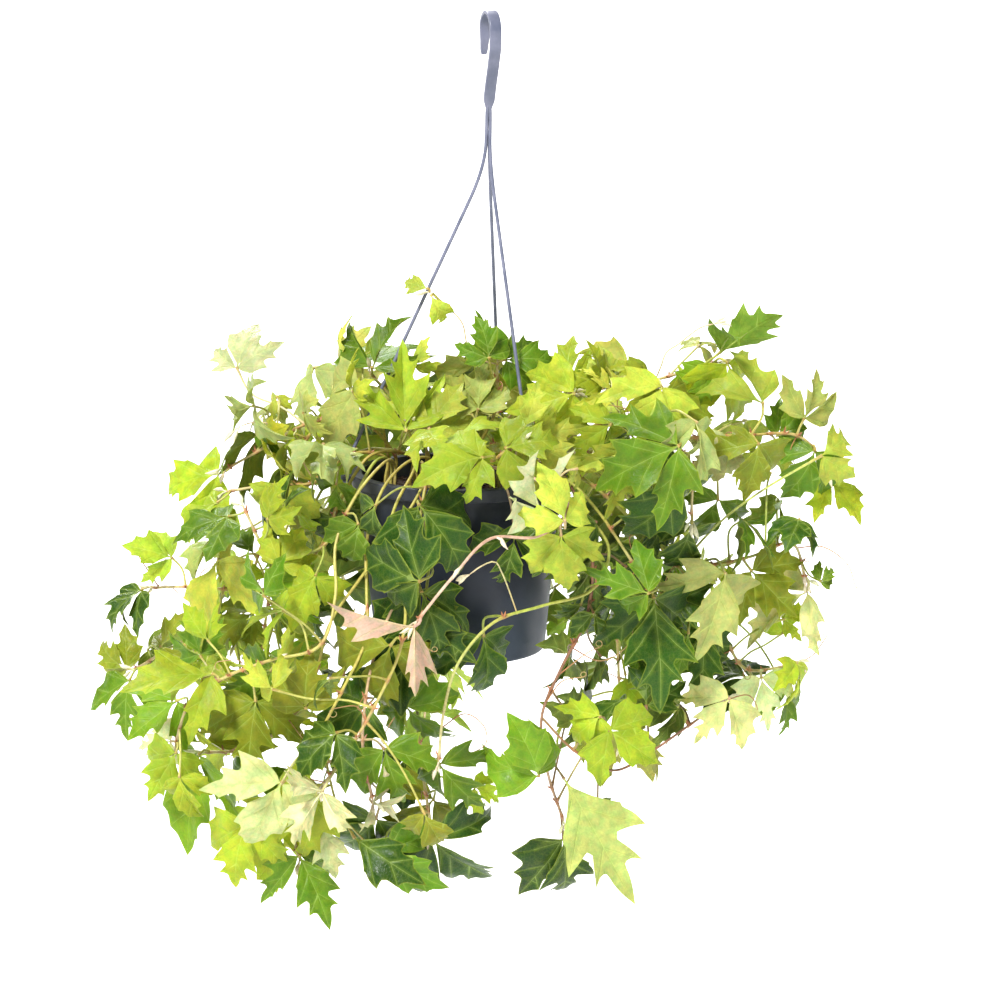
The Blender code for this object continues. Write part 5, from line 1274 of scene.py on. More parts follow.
# Small leaves as (vine's number, across, drop, depth, aim, size, tone), in the manner of the plan. A
# figure after the tone says that fewer than three leaflets have opened.
SMALL_LEAVES = [
    (2, -12.4, 38.6, -7.5, 252, 44, "g"), (3, -17.2, 45.6, -12.5, 62, 46, "l"),
    (4, -26.2, 44.9, -6.5, 158, 46, "l"), (5, -24.0, 53.4, -14.5, 112, 46, "g"),
    (6, -27.4, 52.6, -3.5, 62, 44, "o"), (7, -26.6, 60.8, -11, 182, 44, "s"),
    (13, -2.6, 61.0, -12, -24, 46, "l"), (15, 9.7, 58.6, -11.6, 212, 46, "l"),
    (17, 9.8, 30.2, -7, 96, 46, "l"), (19, 24.2, 34.6, -6.4, 44, 44, "g"),
    (22, 25.0, 51.4, -5, 54, 46, "l"), (23, 0.6, 28.0, -3, 96, 44, "g"),
    (24, -7.0, 34.4, -7.4, -72, 48, "l"),
    (23, -4.7, 22.3, -2, 162, 33, "y1"), (23, -4.5, 22.8, -2.2, -60, 45, "y1"),
    (2, -17.3, 31.2, -5, 245, 26, "y"), (20, 28.0, 47.0, -8, 40, 25, "g"),
    (15, 9.0, 49.6, -11, -60, 40, "d"), (19, 27.5, 35.2, -7, 70, 34, "s"),
    (10, -1.0, 64.8, -13, -12, 36, "l"), (15, 9.5, 66.0, -9, 262, 34, "b"),
    (22, 25.0, 50.2, -6, 20, 34, "l"), (23, 2.4, 25.6, -2.6, -24, 34, "l"),
    (17, 10.5, 30.9, -8, 115, 44, "y"), (25, -5.9, 28.8, -1, 80, 32, "y"),
    (24, -0.6, 32.4, -4.5, 95, 50, "p"), (23, 0.3, 28.1, -4.4, 95, 44, "g"),
    (26, 2.9, 31.8, -5.4, -10, 50, "l"), (26, 10.0, 30.0, -5, 70, 36, "y"),
    (14, 2.4, 43.2, -12.6, 262, 62, "b"), (13, 6.2, 42.4, -11.4, 250, 60, "d"),
    (25, -10.6, 27.6, 1, 150, 40, "s"),
    (1, -13.0, 28.4, 1.5, 176, 34, "s"), (24, -2.4, 34.4, -8, -30, 40, "y"),
    (26, 3.8, 35.4, -9, -60, 42, "l"), (16, 10.4, 33.6, -11, 220, 46, "l"),
    (24, -8.4, 33.0, -8.6, 200, 40, "l"), (9, -7.4, 64.0, -13, -40, 44, "y"),
    (19, 23.4, 36.6, -8, 262, 58, "o"), (19, 26.4, 33.2, -6.6, 66, 50, "p"),
    (20, 20.8, 42.6, -9, 330, 52, "g"), (20, 23.6, 41.8, -8.4, 252, 54, "m"),
    (22, 16.6, 45.8, -8, 204, 54, "b"), (20, 24.2, 46.8, -7.6, 290, 54, "o"),
    (19, 17.0, 33.0, -5.4, 80, 54, "y"), (16, 12.0, 34.4, -9.4, 250, 58, "b"),
    (21, 11.8, 45.4, -11.6, 230, 58, "g"), (22, 18.2, 52.4, -6, 240, 54, "d"),
    (12, -9.2, 40.4, -12.6, 244, 46, "b2"), (5, -10.6, 42.0, -13.4, 262, 46, "g2"),
    (6, -17.4, 45.6, 0.5, 250, 56, "g"), (4, -12.6, 41.4, -7.5, 262, 56, "b"),
    (7, -17.6, 59.0, -14.4, 276, 58, "d"), (11, -13.2, 59.6, -16.6, 250, 56, "d"),
    (11, -15.4, 69.0, -14.0, 214, 56, "p2"), (11, -13.8, 68.2, -15.0, 282, 54, "s2"),
    (19, 19.4, 40.0, -7, 250, 56, "g"), (19, 22.6, 40.6, -7, 280, 52, "m"),
    (20, 23.0, 45.4, -7, 240, 54, "m"), (20, 19.0, 43.0, -8, 250, 52, "d"),
    (21, 15.0, 41.0, -8, 260, 56, "b"), (22, 25.4, 56.6, -5, 280, 46, "g"),
    (22, 22.6, 54.0, -5, 250, 50, "d"), (16, 13.0, 44.5, -9, 250, 54, "b"),
    (7, -19.0, 62.0, -10, 265, 60, "o"), (8, -13.5, 56.6, -14, 255, 56, "b"),
    (9, -12.0, 55.0, -13, 280, 54, "d"), (10, -6.8, 62.0, -10, 265, 56, "d"),
    (6, -21.5, 58.0, -6, 250, 56, "l"),
]
# Young leaves that are still folded, as (vine's number, across, drop, depth, aim, length in mm).
BUDS = [(14, 1.2, 44.0, -17.0, -58, 12), (14, -1.5, 46.4, -18.4, -124, 12),
        (14, 0.9, 43.4, -17.2, -30, 7), (8, -11.5, 60.9, -19.0, 172, 11),
        (8, -11.2, 60.5, -19.2, 66, 8), (9, -9.9, 61.0, -16.6, 158, 9),
        (5, -17.4, 53.2, -17.8, 30, 8), (20, 26.8, 46.8, -9.2, -82, 10)]
# Where the plant is open, between which places across and down, for leaves nearer than a depth
# in metres: over the pot's wall, beneath the pot, and round the lowest leaves.
OPENINGS = [(-7.4, 5.4, 36.8, 46.5, 0.10), (-2.0, 5.8, 46.0, 55.0, 0.10), (-1.6, 3.8, 52.0, 76.0, 9),
            (5.4, 40, 62.0, 76.0, 9), (9.0, 40, 58.6, 76.0, 9), (3.8, 6.8, 53.5, 60.0, 9),
            (-40, -24.6, 36.0, 43.4, 9), (-23.5, -15.0, 20.0, 26.6, 9), (-6.4, 3.2, 18.0, 27.4, 9),
            (-40, -29.4, 58.0, 76.0, 9), (-40, -21.5, 68.5, 76.0, 9), (4.0, 12.0, 18.0, 28.4, 9),
            (4.0, 17.0, 18.0, 26.8, 9), (24.2, 40, 18.0, 31.6, 9), (-15, -12, 42.0, 46.0, 9),
            (-11.6, -4.6, 42.0, 50.6, -0.125), (-11.6, -5.8, 35.6, 42.6, 0.10)]
# Painted light and shade: the top's pale tones stand in partly for the stronger light from above, and the
# inner dark tones partly for the shade inside the plant.
REGION_TONES = {"top": "lyplylplyy", "left": "lplylogylpsl", "right": "ggdmdlymgb", "low": "godmlolbyd",
                "inner": "bdbdgbbd", "far": "gdlmbgpl"}
INNER_SHADE_REACH = 0.155             # leaves nearer than this to the pot's axis are old and dark, and their dark tones also paint the shade inside the plant
FILL_START = 0.045              # how far along a stem its first small leaf stands,
SHOOT_START = 0.01              # and along a side shoot
FILL_STEP = (0.0115, 0.021)     # between two small leaves along a stem
FILL_SIZE = (38, 72)            # their middle leaflets' lengths, in millimetres
FILL_STALKS = [(0.020, 0.040), (0.034, 0.060), (0.046, 0.085)]      # how far they stand off
SMALL_TRIES = 90                # how many departures from its place a listed small leaf may try,
FILL_TRIES = 30                 # and one that is set by the rule
TRY_SIZE = 1.03                 # how much larger a leaf is while a clear place is looked for


def as_planned(point):
    """A point's place across and down, as the plan counts them."""
    card = EYE + (point - EYE) * (-EYE.y / (point.y - EYE.y))
    return card.x / CM, -card.z / CM


def in_an_opening(point):
    """Whether a point lies where the plant is open."""
    across, drop = as_planned(point)
    return any(left < across < right and top < drop < low and point.y < depth
               for left, right, top, low, depth in OPENINGS)


def among_the_long_stems(point):
    """Where the stems hang apart and leaves on long stalks fill the plant out."""
    across, drop = as_planned(point)
    return across > 9 or drop > 54


def region_tone(point, draw):
    """A leaf's tone by where it grows: the youngest and palest are over the pot and on the left,
    and those over the pot are also painted paler for the stronger light from above. The old dark
    ones near the pot's axis also paint the shade inside the plant.
    """
    across, drop = as_planned(point)
    inner = drop > 38 and math.hypot(point.x - POT_X, point.y) < INNER_SHADE_REACH
    region = ("far" if point.y > 0.06 else "inner" if inner else "top" if drop < 37
              else "left" if across < -15 else "right" if across > 10 else "low")
    return draw.choice(REGION_TONES[region])


def inside_box(points):
    """Whether all points lie 1 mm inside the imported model's box."""
    low, high = CAD_BOX
    return all(low[k] + 0.001 < point[k] < high[k] - 0.001 for point in points for k in range(3))


def settle(leaf, tone, stems, joints, thicket, tries, planned):
    """A leaf's record at its nearest clear departure from its plan, or none. A planned leaf lies
    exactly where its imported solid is. The great leaf, which has two leaflets there, is one here."""
    name, _, _, size, form, *_ = leaf
    for depth, twist, pitch in tries:
        frame = try_leaf(leaf, depth, twist, pitch)
        joint = stem_place(stems[name], frame[0], joints[name])
        stalk = stalk_route(frame, joint)
        last_run = (stalk[-1] - stalk[-2]).length
        short = stalk[:-1] + [stalk[-2].lerp(stalk[-1], 1 - min(0.9, STALK_FREE / last_run))]
        fat = leaf_shape(size * TRY_SIZE, form, frame, short, BLADE / 2 + LEAF_CLEAR,
                         STALK_HALF + LEAF_CLEAR * 0.6)
        if thicket.touches(fat):
            continue
        shape = leaf_shape(size, form, frame, stalk, BLADE / 2, STALK_HALF)
        if crosses_itself(shape) if planned else not inside_box(fat[0]):
            continue
        thicket.add(shape)
        joints[name].append(joint)
        leaflets = form.get("leaflets", 1 if size > GREAT_LEAF else 2 if form["pair"] else 3)
        return dict(vine=name, size=size, form=form, frame=frame, joint=joint, tone=tone,
                    leaflets=leaflets)
    return None


def place_leaves(stems, joints, thicket):
    """The planned leaves, the largest first."""
    tones = [tone for word in LEAF_TONES.split() for tone in word]
    rows = planned_leaves(random.Random(PLAN_SEED))
    tones += [BACK_TONES[k % len(BACK_TONES)] for k in range(len(rows) - len(tones))]
    order = sorted(zip(rows, tones), key=lambda pair: -pair[0][3])
    found = [settle(leaf, tone, stems, joints, thicket, leaf_tries(), True) for leaf, tone in order]
    return [record for record in found if record]


def small_form(draw, leaflets):
    """How a small leaf spreads, arches, folds and curls."""
    return dict(spread=math.radians(draw.uniform(56, 80)), bend=draw.uniform(0.3, 1.0),
                fold=draw.uniform(0.12, 0.75), curl=draw.uniform(0.1, 0.8),
                leaflets=leaflets, pair=leaflets < 3)


def place_small_leaves(stems, joints, thicket):
    """The small leaves that are listed one by one."""
    draw = random.Random(SMALL_SEED)
    leaves = []
    for number, across, drop, depth, aim, size, tone in SMALL_LEAVES:
        form = small_form(draw, int(tone[1:] or 3))
        leaf = (vine(number), (across, drop, depth), aim, size * 0.001, form, draw.uniform(2, 26),
                draw.uniform(-20, 20), tone[0] == "c")
        tries = leaf_tries()[:SMALL_TRIES]
        leaves.append(settle(leaf, tone[0], stems, joints, thicket, tries, False))
    return [record for record in leaves if record]


def behind_the_rim(point):
    """Whether a stem's place is still within the pot or under its rim."""
    return point.z < RIM_TOP - 0.004 and (point - Vector((POT_X, 0, point.z))).length < RIM_RADIUS


def fill_leaves(stems, joints, thicket):
    """Small leaves along every stem, turned outwards and up, wherever there is room for them: first
    on short stalks, then on longer ones."""
    draw = random.Random(FILL_SEED)
    leaves = []
    for (name, routes), stalk in [(item, stalk) for stalk in FILL_STALKS for item in stems.items()]:
        for route in routes:
            fine = smooth_route(route, FINE_STEP)
            along = FILL_START if route is routes[0] else SHOOT_START
            while along < (len(fine) - 2) * FINE_STEP:
                at = int(along / FINE_STEP)
                along += draw.uniform(*FILL_STEP)
                ahead = (fine[at + 1] - fine[at]).normalized()
                out = Vector((fine[at].x - POT_X, fine[at].y, 0)).normalized()
                side = ahead.cross(out).normalized() * draw.choice((-1, 1))
                away = (side * draw.uniform(0.3, 1) + out * draw.uniform(-0.8, 0.2)
                        + Vector((0, 0, draw.uniform(-0.3, 0.9)))).normalized()
                hub = fine[at] + away * draw.uniform(*stalk)
                fall = Vector((0, 0, -draw.uniform(0.0, 1.1)))
                size = draw.uniform(*FILL_SIZE) * 0.001
                tone = region_tone(hub, draw)
                form = small_form(draw, draw.choice((1, 2, 2, 3, 3, 3, 3, 3)))
                leaf = (name, hub, (away + fall + ahead * 0.3).normalized(), size, form, 0,
                        draw.uniform(-55, 55), False)
                if behind_the_rim(fine[at]):
                    continue
                if in_an_opening(hub) or in_an_opening(hub + leaf[2] * size * 0.8):
                    continue
                if stalk == FILL_STALKS[-1] and not among_the_long_stems(hub):
                    continue
                tries = leaf_tries()[:FILL_TRIES]
                leaves.append(settle(leaf, tone, stems, joints, thicket, tries, False))
    return [record for record in leaves if record]


# ---------- the vines
def onto(fine, point):
    """The point of some fine routes nearest to a given one."""
    return min((spot for route in fine for spot in route), key=lambda spot: (spot - point).length)


def make_vines(stems, sprigs, leaves):
    """One piece for each vine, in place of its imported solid."""
    templates = make_templates()
    paints = [leaf_paint(), stem_paint()]
    draw = random.Random(VINE_SEED)
    for name, routes in stems.items():
        foliage = Foliage()
        own = [leaf for leaf in leaves if leaf["vine"] == name]
        colour = STEM_COLOURS.get(name, mixed(STEM_COLOUR, (0.30, 0.38, 0.05), draw.random()))
        fine = [smooth_route(route, BARK_STEP) for route in routes + sprigs.get(name, [])]
        for leaf in own:
            leaf["joint"] = onto(fine, leaf["joint"])
            leaf["stem_colour"] = colour
        joints = [leaf["joint"] for leaf in own]
        for number, route in enumerate(routes):
            add_stem(foliage, route, [joint for joint in joints if joint in fine[number]], colour,
                     1 if number == 0 else SHOOT_SHRINK, draw)
        for route in sprigs.get(name, []):
            add_stem(foliage, route, [], mixed(colour, YOUNG_COLOUR, 0.5), 0.5, draw)
        for route in fine:
            add_young_tip(foliage, route, draw)
        for owner, places, curl in TENDRILS:
            if vine(owner) == name:
                places = [growth(*place) for place in places]
                add_tendril(foliage, [onto(fine, places[0]), *places[1:]], draw, curl)
        for owner, across, drop, depth, aim, length in BUDS:
            if vine(owner) == name:
                foot, turn = onto(fine, growth(across, drop, depth)), math.radians(aim)
                colour = mixed(YOUNG_COLOUR, (0.72, 0.56, 0.50), draw.random())
                add_bud(foliage, foot, Vector((math.cos(turn), -0.3, math.sin(turn))).normalized(),
                        length * 0.001, colour)
        for number, leaf in enumerate(own):
            add_leaf(foliage, templates, leaf, draw)
            if number % 4 == 1:
                away = (leaf["joint"] - leaf["frame"][0]).normalized()
                down = Vector((draw.uniform(-0.5, 0.5), draw.uniform(-0.5, 0.5), -0.6))
                reach = draw.uniform(0.012, 0.030)
                places = [leaf["joint"], leaf["joint"] + away * reach * 0.5,
                          leaf["joint"] + (away + down).normalized() * reach]
                coil = Vector((0, 0, 0.01))
                if not in_an_opening(places[2]) and inside_box([places[2] + coil, places[2] - coil]):
                    add_tendril(foliage, places, draw, thick=0.0005)
        piece = foliage.build(name + "_foliage", paints)
        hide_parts(name)
        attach(piece, "root")


# ---------- the pot, the soil and the hanger
def mesh_piece(name, shapes, paint, angle, nodes):
    """A piece of closed shapes in one mesh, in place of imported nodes."""
    mesh = bmesh.new()
    for points, faces in shapes:
        corners = [mesh.verts.new(point) for point in points]
        for face in faces:
            mesh.faces.new([corners[k] for k in face])
    bmesh.ops.recalc_face_normals(mesh, faces=mesh.faces)
    data = bpy.data.meshes.new(name)
    mesh.to_mesh(data)
    mesh.free()
    data.shade_smooth()
    data.set_sharp_from_angle(angle=math.radians(angle))
    data.materials.append(paint)
    piece = into_scene(name, data)
    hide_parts(*nodes)
    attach(piece, "root")
    return piece


def rounded(corners, radii, steps):
    """An outline with its corners rounded, each by its own radius."""
    outline = []
    for k, (corner, radius) in enumerate(zip(corners, radii)):
        if radius == 0:
            outline.append(tuple(corner))
            continue
        corner = Vector(corner)
        back = (Vector(corners[k - 1]) - corner).normalized() * radius
        on = (Vector(corners[(k + 1) % len(corners)]) - corner).normalized() * radius
        for step in range(steps + 1):
            t = step / steps
            outline.append(tuple(corner + back * (1 - t) ** 2 + on * t ** 2))
    return outline


def pot_shape():
    """The pot's turned wall: a foot ring, a slightly tapered wall, the rim band and a rounded lip."""
    base, band = RIM_TOP - POT_HEIGHT, RIM_TOP - RIM_BAND
    floor, raised = base + WALL, base + 0.0018
    inner, sunk = pot_inside(RIM_TOP), pot_inside(floor)
    profile = [(0, raised), (BASE_RADIUS - 0.012, raised), (BASE_RADIUS - 0.010, base),
               (BASE_RADIUS, base), (NECK_RADIUS, band - 0.004), (NECK_RADIUS + 0.0004, band),
               (RIM_RADIUS, band), (RIM_RADIUS, RIM_TOP), (inner, RIM_TOP), (sunk, floor), (0, floor)]
    radii = [0, 0.0008, 0.0010, 0.0030, 0.0030, 0.0008, 0.0016, 0.0013, 0.0009, 0.004, 0]
    return turned(rounded(profile, radii, 5), WALL_SIDES)


def ear_shape(bearing):
    """One ear: a rounded tab with a hole for its strand."""
    turn = math.radians(bearing)
    out = Vector((math.cos(turn), math.sin(turn), 0))
    aside = Vector((-math.sin(turn), math.cos(turn), 0))
    root, outer = RIM_RADIUS - EAR_SINK, EAR_REACH + EAR_TIP
    corners = [(root, -EAR_HALF), (outer, -EAR_HALF * 0.62), (outer, EAR_HALF * 0.62), (root, EAR_HALF)]
    edge = rounded(corners, [0, 0.0034, 0.0034, 0], 6)
    turns = [2 * math.pi * k / EAR_HOLE_SIDES for k in range(EAR_HOLE_SIDES)]
    hole = [(EAR_REACH + EAR_HOLE * math.cos(turn), EAR_HOLE * math.sin(turn)) for turn in turns]
    joins = [(k, (k + 1) % len(edge)) for k in range(len(edge))]
    joins += [(len(edge) + k, len(edge) + (k + 1) % len(hole)) for k in range(len(hole))]
    flat, _, faces, _, _, _ = delaunay_2d_cdt([Vector(p) for p in edge + hole], joins, [], 1, 1e-7)

    def from_hole(face):
        return (sum((flat[k] for k in face), Vector((0, 0))) / 3 - Vector((EAR_REACH, 0))).length

    faces = [face for face in faces if from_hole(face) > EAR_HOLE * 0.86]
    count = len(flat)
    axis = Vector((POT_X, 0, 0))
    points = [axis + out * p.x + aside * p.y + Vector((0, 0, height))
              for height in (EAR_TOP, EAR_TOP - EAR_THICK) for p in flat]
    walls = [tuple(join[::-1]) + (join[0] + count, join[1] + count) for join in joins]
    under = [tuple(k + count for k in reversed(face)) for face in faces]
    return points, [tuple(face) for face in faces] + under + walls


def round_tube(path, radii, sides=10):
    """A tube with rounded ends."""
    before, after = (path[0] - path[1]).normalized(), (path[-1] - path[-2]).normalized()
    path = [path[0] + before * radii[0] * 0.7, path[0] + before * radii[0] * 0.45, *path,
            path[-1] + after * radii[-1] * 0.45, path[-1] + after * radii[-1] * 0.7]
    radii = [radii[0] * 0.45, radii[0] * 0.8, *radii, radii[-1] * 0.8, radii[-1] * 0.45]
    return tube(path, radii, sides)


def strap_shape():
    """The hook's flat strap down to its forked waist, with rounded edges."""
    flat = Vector((math.sin(HOOK_TURN), math.cos(HOOK_TURN), 0))
    route = [point for point in smooth_route(hook_route(), 0.0013) if point.z > -0.0830]
    crest = max(range(len(route)), key=lambda k: route[k].z)
    points, faces = [], []
    for k, (centre, _, side, other) in enumerate(ring_frames(route, flat)):
        half = strap_width(centre.z, k > crest) / 2
        lower = min(1, max(0, (-0.066 - centre.z) / 0.017))
        half += (0.0008 - half) * lower ** 1.6
        half *= 1 if k < len(route) - 3 else (0.92, 0.82, 0.66)[k - len(route) + 3]
        thick = STRAP / 2 * (1 - 0.35 * lower)
        ring = rounded([(-half, -thick), (half, -thick), (half, thick), (-half, thick)],
                       [min(half, thick) * 0.62] * 4, 3)
        points += [centre + side * a + other * b for a, b in ring]
    sides = len(points) // len(route)
    for base in range(0, len(points) - sides, sides):
        faces += [(base + k, base + (k + 1) % sides, base + sides + (k + 1) % sides, base + sides + k)
                  for k in range(sides)]
    return points, faces + [tuple(reversed(range(sides))), tuple(range(len(points) - sides, len(points)))]


def strand_shapes(name, bearing):
    """A strand, from the strap's fork down through its ear, with the button that holds it there."""
    flat = Vector((math.sin(HOOK_TURN), math.cos(HOOK_TURN), 0))
    side = 1 if name.endswith("right") else -1
    fork = [hook_place(0.0040, -0.0705) + flat * side * 0.0006,
            hook_place(0.0050, -0.0790) + flat * side * 0.0014,
            hook_place(0.0055, -0.0900) + flat * side * 0.0015]
    route = strand_route(bearing, 12)
    if name.endswith("back"):
        fork = [hook_place(0.0055, -0.0940) + flat * side * 0.0014]
    fine = smooth_route([*fork, route[0]], 0.004)[:-1] + route
    shapes = [round_tube(fine, [STRAND_RADIUS] * len(fine))]
    under = route[-1]
    heights = (0, 0.0002, 0.0008, BUTTON_THICK - 0.0007, BUTTON_THICK - 0.0002, BUTTON_THICK)
    wide = (0.6, 0.86, 1, 1, 0.86, 0.6)
    button = [under - Vector((0, 0, drop)) for drop in heights]
    shapes.append(tube(button, [BUTTON_RADIUS * share for share in wide], 20))
    return shapes


def lump(centre, size, draw):
    """A small irregular crumb: an icosahedron with its corners moved."""
    golden = (1 + 5 ** 0.5) / 2
    corners = [Vector(c) for a in (-1, 1) for b in (-golden, golden)
               for c in ((0, a, b), (a, b, 0), (b, 0, a))]
    corners = [c.normalized() * draw.uniform(0.75, 1.2) for c in corners]
    stretch = Vector((draw.uniform(0.7, 1.3), draw.uniform(0.7, 1.3), draw.uniform(0.5, 0.9)))
    mesh = bmesh.new()
    for c in corners:
        mesh.verts.new(centre + Vector([c[k] * stretch[k] * size for k in range(3)]))
    bmesh.ops.convex_hull(mesh, input=mesh.verts)
    mesh.verts.index_update()
    shape = [v.co.copy() for v in mesh.verts], [tuple(v.index for v in f.verts) for f in mesh.faces]
    mesh.free()
    return shape


def soil_shapes():
    """The soil's rough low dome with loose crumbs on it."""
    draw = random.Random(SOIL_SEED)
    floor, edge = RIM_TOP - POT_HEIGHT + WALL + GAP, SOIL_TOP - SOIL_FALL
    low, high = pot_inside(floor) - GAP, pot_inside(edge) - GAP

    def rough(x, y):
        reach = min(1, math.hypot(x - POT_X, y) / high)
        dome = edge + SOIL_FALL * (1 - reach ** 2)
        return dome + 0.0016 * (noise.noise(Vector((x, y, 0)) * 120) - 0.4) * (1 - reach ** 6)

    rings = [(high * math.sqrt(k / DOME_RINGS), edge) for k in range(DOME_RINGS, 0, -1)]
    points, faces = turned([(0, floor), (low, floor), *rings, (0, SOIL_TOP)], DOME_SIDES)
    points = [Vector((p.x, p.y, rough(p.x, p.y))) if p.z > edge - 1e-6 else p for p in points]
    shapes = [(points, faces)]
    for _ in range(CRUMBS):
        reach, turn = (high - 0.003) * math.sqrt(draw.random()), draw.uniform(0, 2 * math.pi)
        x, y = POT_X + reach * math.cos(turn), reach * math.sin(turn)
        size = draw.uniform(0.0007, 0.0016) * (1.9 if draw.random() < 0.10 else 1)
        shapes.append(lump(Vector((x, y, rough(x, y) + size * 0.15)), size, draw))
    return shapes


# ---------- materials
class Paint:
    """A material's nodes, added and linked with short calls."""

    def __init__(self, name):
        self.material = bpy.data.materials.new(name)
        self.material.use_nodes = True
        self.nodes, self.links = self.material.node_tree.nodes, self.material.node_tree.links
        self.nodes.clear()

    def node(self, kind, settings=(), **inputs):
        node = self.nodes.new("ShaderNode" + kind)
        for key, value in dict(settings).items():
            setattr(node, key, value)
        for key, value in inputs.items():
            self.plug(node.inputs[key.replace("_", " ")], value)
        return node

    def plug(self, socket, value):
        if isinstance(value, bpy.types.NodeSocket):
            self.links.new(value, socket)
        else:
            socket.default_value = value

    def where(self):
        """The place on the object, in metres."""
        return self.node("TexCoord").outputs["Object"]

    def attribute(self, name):
        return self.node("Attribute", dict(attribute_name=name))

    def ramp(self, value, start, end, low, high):
        """Turns a value from start to end into one from low to high, smoothly."""
        node = self.node("MapRange", dict(interpolation_type="SMOOTHSTEP"))
        for socket, number in zip(node.inputs, (value, start, end, low, high)):
            self.plug(socket, number)
        return node.outputs[0]

    def maths(self, operation, first, second=0.0):
        node = self.node("Math", dict(operation=operation))
        self.plug(node.inputs[0], first)
        self.plug(node.inputs[1], second)
        return node.outputs[0]

    def mix(self, share, first, second, blend="MIX"):
        node = self.node("Mix", dict(data_type="RGBA", blend_type=blend))
        self.plug(node.inputs[0], share)
        for socket, colour in ((node.inputs[6], first), (node.inputs[7], second)):
            self.plug(socket, (*colour, 1) if isinstance(colour, tuple) else colour)
        return node.outputs[2]

    def scale(self, colour, amount):
        node = self.node("VectorMath", dict(operation="SCALE"))
        self.plug(node.inputs[0], colour)
        self.plug(node.inputs["Scale"], amount)
        return node.outputs[0]

    def noise(self, place, scale, detail=3.0, rough=0.55):
        node = self.node("TexNoise", Vector=place, Scale=scale, Detail=detail, Roughness=rough)
        return node.outputs["Fac"]

    def bump(self, height, strength, distance, normal=None):
        node = self.node("Bump", Height=height, Strength=strength, Distance=distance)
        if normal:
            self.plug(node.inputs["Normal"], normal)
        return node.outputs["Normal"]

    def surface(self, colour, rough, **more):
        """A plain surface's shader."""
        return self.node("BsdfPrincipled", Base_Color=colour, Roughness=rough, **more).outputs[0]

    def done(self, shader):
        output = self.node("OutputMaterial")
        self.links.new(shader, output.inputs["Surface"])
        return self.material


def leaf_paint():
    """Mottled green with pale veins, a yellower rim and a fine net, which light comes through."""
    p = Paint("leaf_blade")
    tone, place = p.attribute("tone"), p.attribute("place").outputs["Vector"]
    vein, rim = p.attribute("vein").outputs["Fac"], p.attribute("rim").outputs["Fac"]
    under = p.attribute("under").outputs["Fac"]
    cloud, patch, fine = p.noise(place, 0.5, 3.0), p.noise(place, 1.5, 4.0), p.noise(place, 5.5, 2.0)
    cells = p.node("TexVoronoi", dict(feature="DISTANCE_TO_EDGE"), Vector=place, Scale=3.6)
    net = p.ramp(cells.outputs["Distance"], 0.0, 0.10, 1.0, 0.0)
    colour = p.scale(tone.outputs["Color"], p.ramp(cloud, 0.32, 0.68, 0.84, 1.18))
    colour = p.scale(colour, p.ramp(fine, 0.2, 0.8, 0.90, 1.10))
    drift = p.mix(p.ramp(patch, 0.36, 0.64, 0.0, 1.0), (0.88, 0.98, 0.90), (1.13, 1.02, 0.98))
    colour = p.mix(1.0, colour, drift, "MULTIPLY")
    colour = p.mix(p.ramp(patch, 0.50, 0.70, 0.0, 0.06), colour, (0.36, 0.42, 0.035))
    colour = p.mix(p.ramp(vein, 0.3, 4.5, 0.13, 0.0), colour, (0.34, 0.48, 0.05))
    colour = p.mix(p.maths("MULTIPLY", net, 0.05), colour, (0.42, 0.52, 0.10))
    colour = p.mix(p.ramp(rim, 0.0, 1.3, 0.24, 0.0), colour, (0.44, 0.50, 0.04))
    rib = p.mix(0.5, p.scale(colour, 1.7), (0.50, 0.60, 0.20))
    colour = p.mix(p.ramp(vein, 0.08, 0.44, 0.40, 0.0), colour, rib)
    rough = p.maths("ADD", p.ramp(cloud, 0.3, 0.7, 0.28, 0.44), p.maths("MULTIPLY", under, 0.22))
    height = p.maths("SUBTRACT", p.maths("MULTIPLY", fine, 0.6), p.maths("MULTIPLY", net, 0.7))
    normal = p.bump(height, 0.45, 0.00025)
    normal = p.bump(p.maths("ADD", p.ramp(vein, 0.0, 2.4, 0.0, 0.7), p.maths("MULTIPLY", patch, 1.6)),
                    0.55, 0.0007, normal)
    blade = p.surface(colour, rough, Normal=normal, Specular_IOR_Level=0.17)
    glow = p.mix(0.42, p.scale(colour, 1.35), (0.58, 0.61, 0.11))
    light = p.node("BsdfTranslucent", Color=glow, Normal=normal)
    both = p.node("MixShader", Fac=tone.outputs["Alpha"])
    p.links.new(blade, both.inputs[1])
    p.links.new(light.outputs[0], both.inputs[2])
    return p.done(both.outputs[0])


def stem_paint():
    """Smooth young bark with fine darker streaks and flecks."""
    p = Paint("stem_bark")
    where = p.where()
    tone = p.attribute("tone").outputs["Color"]
    streak, fleck = p.noise(where, 260.0, 3.0), p.noise(where, 900.0, 2.0)
    colour = p.scale(tone, p.ramp(streak, 0.3, 0.7, 0.78, 1.18))
    colour = p.mix(p.ramp(fleck, 0.58, 0.70, 0.0, 0.35), colour, (0.26, 0.11, 0.05))
    normal = p.bump(streak, 0.4, 0.0003)
    return p.done(p.surface(colour, p.ramp(streak, 0.3, 0.7, 0.40, 0.58), Normal=normal))


